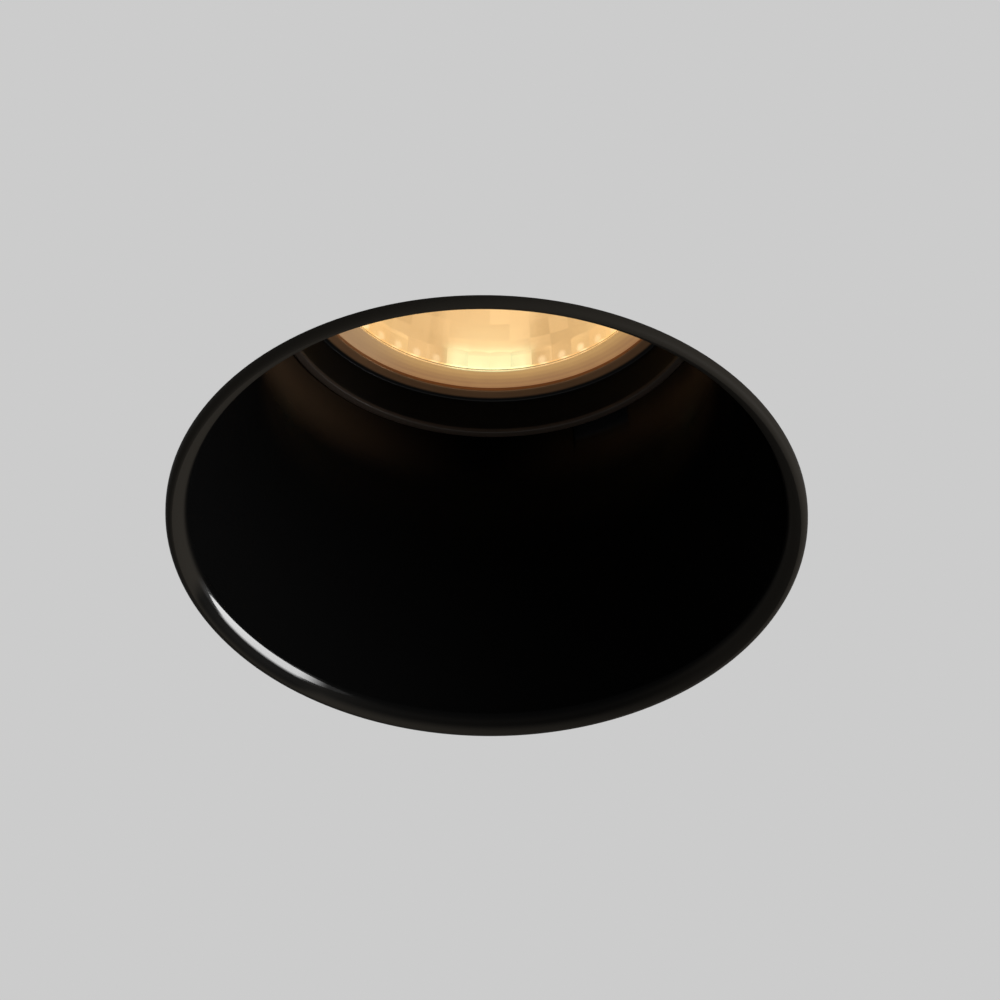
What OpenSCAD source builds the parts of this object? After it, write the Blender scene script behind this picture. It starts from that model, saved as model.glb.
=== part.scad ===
// Round recessed downlight for an outdoor soffit. It is fitted from below through a round cut-out.
// The ceiling's underside is the plane z = 0, +Z points up into the void, and the light leaves towards -Z.
// The axis of the light is the Z axis, and the two spring clips lie on the X axis.

/* [Rim] */
// Outer diameter of the visible rim
rim_d = 84; // [84:1:110]
// Width of the rim's visible face
rim_w = 2.8; // [2.4:0.1:4]
// How far the rim's lowest line stands below the ceiling
rim_drop = 1.8; // [1.6:0.1:3]
// How far the rim's inner edge lies above its lowest line
rim_rise = 1.6; // [1.2:0.1:1.6]
// Thickness of the seal between rim and ceiling
ceiling_seal_t = 0.7; // [0.5:0.1:0.8]

/* [Cone] */
// Height of the cone's upper edge above the ceiling
cone_h = 41.5; // [36:0.5:60]
// Wall thickness of the cone
cone_wall = 1.3; // [1.2:0.1:2]
// Wall left between the cone's mouth and the outside of the neck
mouth_wall = 0.8; // [0.8:0.1:1.2]
// Height of the straight neck above the ceiling
neck_h = 7; // [5:0.5:12]
// Height of the collar that takes the retaining ring
collar_h = 7.5; // [7:0.5:12]

/* [Retaining ring] */
// Wall thickness of the ring's skirt
ring_wall = 1.15; // [1:0.05:1.5]
// Depth of the bevelled lip from the skirt to its inner edge
lip_w = 1.9; // [1.6:0.1:3]
// How far the lip holds over the edge of the lamp
lip_lap = 0.3; // [0.2:0.1:1]
// Number of bayonet lugs
lugs = 3; // [2:1:4]
// Angle that one bayonet lug covers
lug_deg = 14; // [10:1:20]
// Angle that the ring turns from locked to free
ring_turn = 25; // [22:1:30]
// Height of one bayonet lug
lug_h = 1.8; // [1.4:0.1:2]
// How far a bayonet lug stands out
lug_out = 1; // [0.8:0.1:1.2]

/* [Lamp] */
// Diameter of the reflector lamp
lamp_d = 50.7; // [48:0.1:51]
// Length of the lamp from its face to the seat of its pins
lamp_len = 46.8; // [44:0.1:60]
// Height of the lamp's straight edge
lamp_edge_h = 3; // [2.5:0.1:3.2]
// Width of the clear glass edge round the reflector
lamp_edge_w = 3.5; // [2.6:0.1:3.8]
// Diameter of the lamp's ceramic base
lamp_base_d = 23; // [20:0.5:25]
// Distance between the lamp's two pins
pin_pitch = 10; // [10:0.5:10.5]
// Length of the lamp's pins
pin_len = 7.2; // [6.5:0.1:7.4]
// Diameter of a lamp pin's head
pin_head_d = 4.8; // [4.4:0.1:5]
// Angle that the lamp turns from locked to free
lamp_turn = 20; // [16:1:24]
// Number of facets round the reflector
facets = 36; // [24:2:48]
// Number of rows of facets
facet_rows = 8; // [6:1:12]

/* [Housing] */
// Outer diameter of the lamp can
can_d = 62; // [61:0.5:63]
// Wall thickness of the lamp can
can_wall = 1.6; // [1.4:0.1:2.2]
// Thickness of the can's lower flange
flange_t = 2; // [1.6:0.1:3]
// Height of the rear cap
cap_h = 20; // [18:0.5:30]
// Wall thickness of the rear cap
cap_wall = 1.8; // [1.6:0.1:2.4]
// Thickness of the flat gaskets of the housing
gasket_t = 0.6; // [0.5:0.1:1]
// Number of screws that hold the can to the cone
can_screw_count = 4; // [4:2:4]
// Number of cooling ribs round the can between two screws
rib_count = 5; // [3:1:6]

/* [Lampholder] */
// Diameter of the lampholder
holder_d = 27; // [26:0.5:30]
// Thickness of the lampholder's lower plate
holder_plate_t = 3.4; // [3:0.1:4]
// Height of the lampholder's body above its lower plate
holder_body_h = 10; // [9:0.5:14]
// Thickness of the steel bridge
bridge_t = 1.2; // [1:0.1:2]
// Width of the steel bridge
bridge_w = 16; // [15:0.5:18]

/* [Terminal block] */
// Distance between two ways of the terminal block
way_pitch = 7.5; // [7:0.1:8]
// Width of the terminal block
block_w = 13; // [12:0.5:14]
// Height of the terminal block
block_h = 10; // [9:0.5:11]
// Diameter of the sleeved inner leads
lead_d = 2; // [1.6:0.1:2.2]

/* [Cable gland] */
// Diameter of the gland's thread
gland_d = 16; // [14:0.5:18]
// Diameter of the gland's cable bore
cable_d = 8; // [6:0.5:9]
// Height of the gland's nut
gland_nut_h = 13; // [12:0.5:16]

/* [Spring clips] */
// Diameter of the spring wire
wire_d = 1.2; // [1:0.1:1.3]
// Mean diameter of the wound turns
coil_d = 4.4; // [4.2:0.1:4.6]
// Number of full turns on each side
coil_turns = 3; // [2:1:3]
// Gap between two turns
coil_gap = 0.5; // [0.48:0.01:0.6]
// Length of the spring arms
arm_len = 58; // [50:1:64]
// Height of the arm's tip above the ceiling with no board in place
tip_h = 4.5; // [3.5:0.5:8]
// Thickness of the clip bracket's sheet
bracket_t = 1; // [0.8:0.1:1.1]
// Diameter of the pivot pin
pivot_d = 2.6; // [2.2:0.1:2.6]
// Diameter of the sleeve on the arm's tip
sleeve_d = 4; // [3.4:0.1:4.4]

/* [Hidden] */
$fn = 72;

// Clearances: fixed pieces that slide together, a turning fit, and faces of pieces that move past each other
fit_gap = 0.1;
turn_gap = 0.25;
face_gap = 0.2;
// A cut runs this far past the faces that it opens
past = 1;

// Finishes
black_metal = [0.03, 0.03, 0.032];
black_plastic = [0.06, 0.06, 0.065];
silicone = [0.2, 0.2, 0.2];
steel = [0.72, 0.73, 0.75];
brass = [0.8, 0.65, 0.3];
ceramic = [0.93, 0.9, 0.84];
clear_glass = [1, 0.86, 0.6, 0.6];

// Rim and neck
rim_r = rim_d / 2;
mouth_r = rim_r - rim_w;
neck_r = mouth_r + mouth_wall;
seal_in_r = neck_r + 0.55;
rim_lip = 0.5;
rim_top = -0.3;
rim_side = 0.45;

// Retaining ring, worked outwards from the lamp
lamp_r = lamp_d / 2;
seal_w = 3.05;
ring_r = lamp_r + seal_w + ring_wall;
throat_r = ring_r + turn_gap;
lip_r = lamp_r - lip_lap;
skirt_r = lip_r + lip_w;
lip_z = cone_h + 3.8;
lip_rise = 0.1;
lip_t = 0.4;
lip_top = lip_z + lip_rise + lip_t;
ring_bottom = cone_h - 0.6;
ring_edge = 1.2;
lug_r = ring_r + lug_out;
lug_z = lip_top - 0.4;
ring_top = lug_z + lug_h + 0.1;
slot_r = lug_r + turn_gap;
entry_deg = 60;
lug_pitch = 360 / lugs;

// Collar on top of the cone
collar_r = slot_r + 1.6;
collar_top = cone_h + collar_h;
cone_slope = (mouth_r - throat_r) / (cone_h + rim_drop - rim_rise);
collar_z = cone_h - (collar_r - throat_r - cone_wall) / cone_slope;

// Lamp
lamp_face = lip_top + face_gap;
pin_seat = lamp_face + lamp_len;
bowl_r = lamp_r - lamp_edge_w;
lamp_edge_cut = 0.9;
cover_in = 0.1;
cover_t = 1;
bowl_top = lamp_face + 25;
bowl_top_r = 8;
capsule_r = 4.4;
capsule_in = 5.5;
capsule_z = lamp_face + capsule_in;
base_h = 13.5;
shell_top = pin_seat - base_h;
lamp_base_r = lamp_base_d / 2;
pin_shank_r = 1.2;
pin_head_h = 2;

// Can
can_r = can_d / 2;
can_bore = can_r - can_wall;
can_z = collar_top + gasket_t;
holder_z = pin_seat + face_gap;
body_z = holder_z + holder_plate_t;
bridge_z = body_z + holder_body_h;
bridge_top = bridge_z + bridge_t;
can_top = bridge_z + 3;
contact_z = pin_seat + pin_len + face_gap;
pocket_top = contact_z + 2.4;
flange_r = collar_r;
flange_hole = lamp_r + 1.2;
screw_lug_r = 3.4;
screw_ring_r = collar_r + 2.3;
screw_lug_h = 8;
m3_r = 1.5;
m3_head_r = 2.75;
m3_head_h = 2.6;
m3_hole_r = m3_r + 0.15;
pad_w = 20;
pad_x = can_r + 0.6;
m2_r = 1.1;
m2_head_r = 2;
m2_head_h = 1.6;
ledge_w = 12;
ledge_in = 6;
boss_r = 3.6;
boss_ring_r = can_bore - boss_r + 0.6;
boss_h = 14;
boss_hole = 12;

// Rear cap
cap_z = can_top + gasket_t;
cap_top = cap_z + cap_h;
cap_bore = can_r - cap_wall;
cap_edge = 2;

// Terminal block on the bridge
block_z = bridge_top;
block_y = 1;
block_l = 3 * way_pitch + 2;
insert_r = 2.2;
insert_bore = 1.3;
insert_z = block_z + 4.2;
clamp_r = 1.3;
clamp_y = 2.9;

// Inner leads
lead_r = lead_d / 2;
lead_bend = 2.2;
lead_sides = 8;
lead_y = -(holder_d / 2 - 3.4);
block_face = block_y - block_w / 2;
lead_in = 3;
earth_x = 19.5;
tag_t = 0.8;
barrel_h = 1.9;

// Cable gland
gland_r = gland_d / 2;
gland_bore = cable_d / 2;
washer_t = 1.5;
hex_r = gland_r + 3;
hex_h = 6;
gland_z = cap_top + washer_t;
nut_z = gland_z + hex_h + 0.8;
nut_r = gland_r + 2;
seal_h = 8;
nut_ribs = 12;
locknut_h = 4;
seal_r = gland_bore + 2.1;
stub_z = cap_top - cap_wall - locknut_h - 1.5;

// Spring clips: everything is set out from the pivot
coil_r = coil_d / 2;
wire_r = wire_d / 2;
pivot_r = pivot_d / 2;
coil_out = coil_r + wire_r;
bracket_x = pad_x;
swing_gap = 0.4;
pivot_x = bracket_x + bracket_t + coil_out + swing_gap;
bracket_z = can_z + flange_t + 0.4;
shelf_drop = coil_out + swing_gap;
pivot_z = bracket_z + bracket_t + shelf_drop;
coil_pitch = wire_d + coil_gap;
coil_y0 = 2;
arm_drop = asin((pivot_z - tip_h) / arm_len);
leave_deg = 90 - arm_drop;
sweep_deg = 180 - leave_deg + 360 * coil_turns;
arm_y = coil_y0 + coil_pitch * sweep_deg / 360;
shelf_at = (coil_r * sin(leave_deg) + shelf_drop) / sin(arm_drop);
shelf_x = pivot_x + coil_r * cos(leave_deg) + shelf_at * cos(arm_drop) - (wire_r + 0.1) / sin(arm_drop);
ear_y = arm_y + wire_r + 0.25;
ear_r = 2.4;
bend_r = 3;
wire_sides = 6;
curl_rings = 8;
rivet_y = 4;
rivet_z = pivot_z + 8.2;
rivet_r = 1.2;
rivet_hole_r = rivet_r + 0.05;
rivet_depth = 1.4;
bracket_top = rivet_z + 3;
pin_end = 0.8;

// ---- Shapes that repeat ----

// Ring with a square section
module ring(r_in, r_out, z0, z1)
    translate([0, 0, z0]) difference() {
        cylinder(r = r_out, h = z1 - z0);
        translate([0, 0, -past]) cylinder(r = r_in, h = z1 - z0 + 2 * past);
    }

// Part of a ring, from angle a0 over sweep a
module arc_ring(r_in, r_out, z0, z1, a0, a)
    rotate([0, 0, a0]) rotate_extrude(angle = a)
        translate([r_in, z0]) square([r_out - r_in, z1 - z0]);

// The same thing at each screw of the can
module at_can_screws()
    for (i = [0 : can_screw_count - 1])
        rotate([0, 0, 45 + i * 360 / can_screw_count]) translate([screw_ring_r, 0, 0]) children();

// The same thing at both cap bosses
module at_bosses() for (s = [-1, 1]) translate([0, s * boss_ring_r, 0]) children();

// The same thing at both bridge ledges
module at_ledges() for (s = [0, 1]) mirror([s, 0, 0]) translate([can_bore - ledge_in / 2 - 0.4, 0, 0]) children();

// Pan head screw that points down, with its head's underside at z = 0
module pan_screw(r, head_r, head_h, len) {
    difference() {
        cylinder(r1 = head_r, r2 = head_r * 0.82, h = head_h);
        for (a = [0, 90]) rotate([0, 0, a])
            translate([-head_r * 0.6, -head_r * 0.13, head_h * 0.5]) cube([head_r * 1.2, head_r * 0.26, head_h]);
    }
    translate([0, 0, -len]) cylinder(r = r, h = len);
}

// Socket head screw that points down, with its head's underside at z = 0
module socket_screw(r, head_r, head_h, len) {
    difference() {
        cylinder(r = head_r, h = head_h);
        translate([0, 0, head_h * 0.45]) cylinder(r = head_r * 0.55, h = head_h, $fn = 6);
    }
    translate([0, 0, -len]) cylinder(r = r, h = len);
}

// ---- Wire and leads: one unbroken tube along a path ----

function unit(v) = v / norm(v);

function path_dir(p, i) = unit(p[min(i + 1, len(p) - 1)] - p[max(i - 1, 0)]);

// Carries one sideways direction along the path without twisting it
function side_dirs(p, n, i = 0, out = []) =
    i == len(p) ? out :
    let (t = path_dir(p, i), m = unit(n - t * (n * t))) side_dirs(p, m, i + 1, concat(out, [m]));

// Arc in the plane of u and v, leaving along v, from angle a0 to a1 in the given number of steps
function arc_points(c, r, u, v, a0, a1, steps) =
    [for (i = [0 : steps]) let (a = a0 + (a1 - a0) * i / steps) c + r * (u * cos(a) + v * sin(a))];

// Least distance between two stretches of the tube that aren't neighbours
function self_gap(p, d, skip) =
    min([for (i = [0 : len(p) - 1]) for (j = [i + skip : len(p) - 1]) if (j < len(p)) norm(p[i] - p[j])]) - d;

module tube(p, r, sides, first_side) {
    n = side_dirs(p, first_side);
    rings = len(p);
    points = [
        for (i = [0 : rings - 1])
            let (t = path_dir(p, i), b = cross(t, n[i]))
            for (k = [0 : sides - 1]) p[i] + r * (cos(360 * k / sides) * n[i] + sin(360 * k / sides) * b)
    ];
    sides_faces = [
        for (i = [0 : rings - 2]) for (k = [0 : sides - 1])
            let (a = i * sides + k, b = i * sides + (k + 1) % sides)
            for (f = [[a, a + sides, b], [b, a + sides, b + sides]]) f
    ];
    start_cap = [for (k = [1 : sides - 2]) [0, k, k + 1]];
    end_cap = [for (k = [1 : sides - 2]) (rings - 1) * sides * [1, 1, 1] + [0, k + 1, k]];
    polyhedron(points, concat(sides_faces, start_cap, end_cap), convexity = 10);
}

// ---- Trim ----

// Half section of the cone: bevelled rim, groove for the ceiling seal, neck, cone and collar
module trim_profile() {
    polygon(concat(
        [[mouth_r, -rim_drop + rim_rise], [rim_r - rim_w * 0.38, -rim_drop + 0.06]],
        [for (a = [90 : -15 : 0]) [
            rim_r - rim_side * 2 + rim_side * 2 * cos(a),
            -rim_drop + (rim_drop + rim_top - rim_side) * (1 - sin(a))
        ]],
        [
            [rim_r, rim_top],
            [rim_r - rim_lip, rim_top],
            [rim_r - rim_lip, -ceiling_seal_t],
            [seal_in_r, -ceiling_seal_t],
            [seal_in_r, 0],
            [neck_r, 0],
            [neck_r, neck_h],
            [throat_r + cone_wall + cone_slope * (cone_h - neck_h - 1), neck_h + 1],
            [collar_r, collar_z],
            [collar_r, collar_top],
            [throat_r, collar_top],
            [throat_r, cone_h]
        ]
    ));
}

module trim_cone() color(black_metal) {
    difference() {
        union() {
            rotate_extrude() trim_profile();
            at_can_screws() translate([0, 0, can_z - screw_lug_h]) cylinder(r = screw_lug_r, h = screw_lug_h);
            at_can_screws() translate([-screw_lug_r, -screw_lug_r, can_z - screw_lug_h])
                cube([screw_lug_r, 2 * screw_lug_r, screw_lug_h - gasket_t]);
        }
        translate([0, 0, cone_h]) cylinder(r = throat_r, h = collar_h + past);
        translate([0, 0, collar_z - past]) throat_space();
        translate([0, 0, collar_top]) cylinder(r = collar_r, h = gasket_t + past);
        at_can_screws() translate([0, 0, can_z - screw_lug_h + 1.5]) cylinder(r = m3_r, h = screw_lug_h);
        for (i = [0 : lugs - 1]) rotate([0, 0, i * lug_pitch]) {
            arc_ring(throat_r - past, slot_r, collar_z, lug_z + lug_h + face_gap,
                entry_deg - lug_deg / 2 - 1, lug_deg + 2);
            arc_ring(throat_r - past, slot_r, lug_z - face_gap / 2, lug_z + lug_h + face_gap,
                entry_deg - lug_deg / 2 - 1, lug_deg + 2 + ring_turn);
        }
    }
}

// Space of the cone from the foot of the collar up to the throat, which the screw lugs must not fill
module throat_space() {
    h = cone_h - collar_z + past;
    cylinder(r1 = throat_r + cone_slope * h, r2 = throat_r, h = h);
}

module ceiling_gasket() color(silicone)
    ring(seal_in_r + 0.05, rim_r - rim_lip - 0.05, -ceiling_seal_t, 0);

// Skirt, bevelled lip that holds the lamp's edge, and bayonet lugs
module retaining_ring() color(black_metal) {
    rotate_extrude() polygon([
        [ring_r - ring_edge, ring_bottom],
        [ring_r - 0.3, ring_bottom],
        [ring_r, ring_bottom + 0.3],
        [ring_r, ring_top],
        [ring_r - ring_wall, ring_top],
        [ring_r - ring_wall, lip_top],
        [lip_r, lip_top],
        [lip_r, lip_top - lip_t],
        [skirt_r, lip_z]
    ]);
    for (i = [0 : lugs - 1])
        arc_ring(ring_r - 0.3, lug_r, lug_z, lug_z + lug_h,
            i * lug_pitch + entry_deg + ring_turn - lug_deg / 2, lug_deg);
}

// Ring of silicone between the lamp's edge and the can's flange
module lamp_seal() color(silicone)
    ring(lamp_r + 0.3, ring_r - ring_wall - face_gap, lip_top + 0.4, can_z);

// ---- Lamp ----

// Bowl section: outer skin of the glass
function shell_radius(f) = lamp_base_r + 0.6 + (lamp_r - lamp_base_r - 0.6) * sqrt(1 - f * f);
// Bowl section: inside, from the mouth to the neck of the bowl
function bowl_radius(f) = bowl_top_r + (bowl_r - bowl_top_r) * sqrt(1 - f);

module reflector_bowl() {
    z0 = lamp_face + cover_in + cover_t;
    points = [
        for (i = [0 : facet_rows]) let (f = i / facet_rows)
            for (k = [0 : facets - 1]) let (a = 360 * (k + 0.5 * (i % 2)) / facets)
                [bowl_radius(f) * cos(a), bowl_radius(f) * sin(a), z0 + (bowl_top - z0) * f]
    ];
    row_faces = [
        for (i = [0 : facet_rows - 1]) for (k = [0 : facets - 1])
            let (
                n = (k + 1) % facets,
                a = i * facets + k,
                b = i * facets + n,
                c = (i + 1) * facets + k,
                d = (i + 1) * facets + n
            )
            for (f = (i % 2 == 0) ? [[a, c, b], [b, c, d]] : [[a, c, d], [a, d, b]]) f
    ];
    floor_face = [[for (k = [0 : facets - 1]) k]];
    top_face = [[for (k = [facets - 1 : -1 : 0]) facet_rows * facets + k]];
    polyhedron(points, concat(row_faces, floor_face, top_face), convexity = 4);
}

module lamp_reflector() color(clear_glass)
    difference() {
        rotate_extrude() polygon(concat(
            [[0, lamp_face], [lamp_r - lamp_edge_cut, lamp_face], [lamp_r, lamp_face + lamp_edge_cut]],
            [for (f = [0 : 0.1 : 0.9])
                [shell_radius(f), lamp_face + lamp_edge_h + (shell_top - lamp_face - lamp_edge_h) * f]],
            [[lamp_base_r + 0.6, shell_top], [0, shell_top]]
        ));
        translate([0, 0, lamp_face - past]) cylinder(r = bowl_r + 0.3, h = past + cover_in + cover_t);
        reflector_bowl();
        translate([0, 0, bowl_top - past]) cylinder(r = capsule_r + 0.6, h = shell_top - bowl_top + 2 * past);
    }

module lamp_cover_glass() color(clear_glass)
    translate([0, 0, lamp_face + cover_in]) cylinder(r = bowl_r + 0.3 - fit_gap, h = cover_t - 0.05);

module lamp_capsule() color([1, 0.93, 0.7])
    translate([0, 0, capsule_z + capsule_r]) {
        cylinder(r = capsule_r, h = shell_top - capsule_z - capsule_r);
        sphere(r = capsule_r);
    }

module lamp_base() color(ceramic)
    rotate_extrude() polygon([
        [0, shell_top],
        [lamp_base_r, shell_top],
        [lamp_base_r, shell_top + 3],
        [lamp_base_r - 1.2, shell_top + 5],
        [lamp_base_r - 1.2, pin_seat],
        [0, pin_seat]
    ]);

module lamp_pins() color(steel)
    for (s = [-1, 1]) translate([s * pin_pitch / 2, 0, pin_seat]) {
        cylinder(r = pin_shank_r, h = pin_len);
        translate([0, 0, pin_len - pin_head_h]) cylinder(r = pin_head_d / 2, h = pin_head_h);
    }

// ---- Housing ----

module can_ribs() {
    rib_z0 = bracket_top + 3;
    rib_z1 = can_top - 4;
    for (q = [0 : 3]) for (i = [0 : rib_count - 1])
        rotate([0, 0, q * 90 + 90 * (i + 1) / (rib_count + 1)])
            translate([can_r - 0.4, -0.8, rib_z0]) cube([1.6, 1.6, rib_z1 - rib_z0]);
}

module lamp_can() color(black_metal)
    difference() {
        union() {
            translate([0, 0, can_z]) cylinder(r = can_r, h = can_top - can_z);
            translate([0, 0, can_z]) cylinder(r = flange_r, h = flange_t);
            at_can_screws() translate([0, 0, can_z]) cylinder(r = screw_lug_r, h = flange_t + 1);
            at_can_screws() translate([-screw_lug_r, -screw_lug_r, can_z])
                cube([screw_lug_r, 2 * screw_lug_r, flange_t + 1]);
            for (s = [0, 180]) rotate([0, 0, s])
                translate([0, -pad_w / 2, can_z]) cube([pad_x, pad_w, bracket_top + 1.5 - can_z]);
            can_ribs();
        }
        difference() {
            translate([0, 0, can_z + flange_t]) cylinder(r = can_bore, h = can_top - can_z);
            at_ledges() translate([-ledge_in / 2, -ledge_w / 2, bridge_z - 8])
                cube([ledge_in + 2, ledge_w, 8]);
            at_bosses() translate([0, 0, can_top - boss_h]) cylinder(r = boss_r, h = boss_h);
        }
        translate([0, 0, can_z - past]) cylinder(r = flange_hole, h = flange_t + 2 * past);
        at_can_screws() translate([0, 0, can_z - past]) cylinder(r = m3_hole_r, h = flange_t + 1 + 2 * past);
        at_ledges() translate([0, 0, bridge_z - 7]) cylinder(r = m3_r, h = 8);
        at_bosses() translate([0, 0, can_top - boss_hole]) cylinder(r = m3_r, h = boss_hole + past);
        for (s = [0, 180]) rotate([0, 0, s]) at_rivets(pad_x - rivet_depth) cylinder(r = rivet_hole_r, h = 3);
    }

module can_gasket() color(silicone) ring(slot_r - 0.6, collar_r - 0.2, collar_top, can_z);

module can_screws() color(steel)
    at_can_screws() translate([0, 0, can_z + flange_t + 1]) socket_screw(m3_r, m3_head_r, m3_head_h, 8.5);

module rear_cap() color(black_metal)
    difference() {
        translate([0, 0, cap_z]) rotate_extrude() polygon([
            [0, 0],
            [can_r, 0],
            [can_r, cap_h - cap_edge],
            [can_r - cap_edge, cap_h],
            [0, cap_h]
        ]);
        difference() {
            translate([0, 0, cap_z - past]) cylinder(r = cap_bore, h = cap_h - cap_wall + past);
            at_bosses() translate([0, 0, cap_z]) cylinder(r = boss_r, h = cap_h);
        }
        at_bosses() translate([0, 0, cap_z - past]) cylinder(r = m3_hole_r, h = cap_h + 2 * past);
        translate([0, 0, cap_top - cap_wall - past]) cylinder(r = gland_r + fit_gap, h = cap_wall + 2 * past);
    }

module cap_gasket() color(silicone)
    difference() {
        union() {
            ring(can_bore + 0.2, can_r - 0.2, can_top, cap_z);
            at_bosses() translate([0, 0, can_top]) cylinder(r = boss_r - 0.1, h = gasket_t);
        }
        at_bosses() translate([0, 0, can_top - past]) cylinder(r = m3_hole_r, h = gasket_t + 2 * past);
    }

module cap_screws() color(steel)
    at_bosses() translate([0, 0, cap_top]) pan_screw(m3_r, m3_head_r, 2.2, cap_h + gasket_t + 11);

// ---- Lampholder ----

// Way of the lamp pins: a round entry where the lamp is free and a slot with a wider end to where it is locked
module pin_slots(r, z0, z1, entry_r)
    for (s = [0, 180]) rotate([0, 0, s]) {
        arc_ring(pin_pitch / 2 - r, pin_pitch / 2 + r, z0, z1, -lamp_turn, lamp_turn);
        translate([pin_pitch / 2, 0, z0]) cylinder(r = r + fit_gap, h = z1 - z0);
        rotate([0, 0, -lamp_turn]) translate([pin_pitch / 2, 0, z0]) cylinder(r = entry_r, h = z1 - z0);
    }

// The same thing at both screws of the lampholder
module at_holder_screws() for (s = [-1, 1]) translate([s * (holder_d / 2 - 3), 0, 0]) children();

module holder_plate() color(ceramic)
    difference() {
        translate([0, 0, holder_z]) cylinder(r = holder_d / 2, h = holder_plate_t);
        pin_slots(pin_shank_r + turn_gap, holder_z - past, body_z + past, pin_head_d / 2 + turn_gap);
        at_holder_screws() {
            translate([0, 0, holder_z - past]) cylinder(r = m2_r + fit_gap, h = holder_plate_t + 2 * past);
            translate([0, 0, holder_z - past]) cylinder(r = m2_head_r + turn_gap, h = m2_head_h + past);
        }
    }

module holder_body() color(ceramic)
    difference() {
        translate([0, 0, body_z]) cylinder(r = holder_d / 2, h = holder_body_h);
        pin_slots(pin_head_d / 2 + turn_gap, body_z - past, pocket_top, pin_head_d / 2 + turn_gap + fit_gap);
        at_holder_screws() translate([0, 0, body_z - past])
            cylinder(r = m2_r + fit_gap, h = holder_body_h + 2 * past);
    }

// Sprung brass strips over the pin heads, each fixed to the top of its pocket
module holder_contacts() color(brass)
    for (s = [0, 180]) rotate([0, 0, s]) translate([pin_pitch / 2 - 1.6, -1.6, 0]) {
        translate([0, 0, pocket_top - 0.5]) cube([3.2, 3.2, 0.5]);
        translate([0, 2.7, contact_z]) cube([3.2, 0.5, pocket_top - contact_z]);
        translate([0, 0, contact_z]) cube([3.2, 3.2, 0.5]);
    }

module holder_screws() color(steel)
    at_holder_screws() translate([0, 0, holder_z + m2_head_h]) mirror([0, 0, 1])
        pan_screw(m2_r, m2_head_r, m2_head_h, bridge_top - holder_z - m2_head_h);

module holder_bridge() color(steel)
    difference() {
        intersection() {
            translate([-can_bore, -bridge_w / 2, bridge_z]) cube([2 * can_bore, bridge_w, bridge_t]);
            translate([0, 0, bridge_z - past]) cylinder(r = can_bore - 0.3, h = bridge_t + 2 * past);
        }
        at_holder_screws() translate([0, 0, bridge_z - past]) cylinder(r = m2_r, h = bridge_t + 2 * past);
        at_ledges() translate([0, 0, bridge_z - past]) cylinder(r = m3_hole_r, h = bridge_t + 2 * past);
        translate([earth_x, 0, bridge_z - past]) cylinder(r = m3_r, h = bridge_t + 2 * past);
        translate([way_pitch / 2, block_y, bridge_z - past]) cylinder(r = m2_r, h = bridge_t + 2 * past);
    }

module bridge_screws() color(steel)
    at_ledges() translate([0, 0, bridge_top]) pan_screw(m3_r, m3_head_r, 2, bridge_t + 6);

// ---- Terminal block and inner leads ----

// The same thing at each way of the block
module at_ways() for (i = [-1 : 1]) translate([i * way_pitch, block_y, insert_z]) rotate([90, 0, 0]) children();

// The same thing at each clamping screw
module at_clamps() for (i = [-1 : 1]) for (s = [-1, 1])
    translate([i * way_pitch, block_y + s * clamp_y, 0]) children();

module terminal_block() color(ceramic)
    difference() {
        translate([-block_l / 2, block_y - block_w / 2, block_z]) cube([block_l, block_w, block_h]);
        at_ways() cylinder(r = insert_r, h = block_w + 2 * past, center = true);
        at_clamps() translate([0, 0, insert_z]) cylinder(r = clamp_r + 0.3, h = block_h);
        for (s = [-1, 1]) translate([s * way_pitch / 2 - 0.5, block_y - block_w / 2 - past, block_z + block_h - 3])
            cube([1, block_w + 2 * past, 3 + past]);
        translate([way_pitch / 2, block_y, block_z - past]) cylinder(r = m2_r, h = block_h);
    }

module terminal_inserts() color(brass)
    difference() {
        at_ways() cylinder(r = insert_r - 0.05, h = block_w - 2, center = true);
        at_ways() cylinder(r = insert_bore, h = block_w + 2 * past, center = true);
        at_clamps() translate([0, 0, insert_z]) cylinder(r = clamp_r, h = block_h);
    }

module terminal_screws() color(steel) {
    at_clamps() translate([0, 0, insert_z + lead_r + 0.1])
        cylinder(r = clamp_r - 0.02, h = block_z + block_h - insert_z - lead_r - 0.7);
    translate([way_pitch / 2, block_y, bridge_z]) cylinder(r = m2_r - 0.02, h = bridge_t + block_h - 3);
}

// Ring tag under its screw, with a barrel that stands up beside it
module earth_tag() color(brass)
    difference() {
        translate([earth_x, 0, bridge_top]) {
            cylinder(r = 3.1, h = tag_t);
            translate([-1.4, block_face - lead_bend, 0]) cube([2.8, -block_face + lead_bend, tag_t]);
            translate([0, block_face - lead_bend, 0]) cylinder(r = lead_r + 0.7, h = barrel_h);
        }
        translate([earth_x, 0, bridge_top - past]) cylinder(r = m3_hole_r, h = tag_t + 2 * past);
        translate([earth_x, block_face - lead_bend, bridge_top + tag_t])
            cylinder(r = lead_r + fit_gap, h = barrel_h);
    }

module earth_screw() color(steel)
    translate([earth_x, 0, bridge_top + tag_t]) pan_screw(m3_r, m3_head_r, 2, bridge_t + tag_t + 2);

// From the top of the lampholder, up and into one way of the block
function holder_lead(x) = concat(
    [[x, lead_y, bridge_z], [x, lead_y, bridge_z + lead_d]],
    arc_points([x, lead_y + lead_bend, insert_z - lead_bend], lead_bend, [0, -1, 0], [0, 0, 1], 0, 90, 6),
    [[x, block_face + lead_in - lead_d, insert_z], [x, block_face + lead_in, insert_z]]
);

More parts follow.
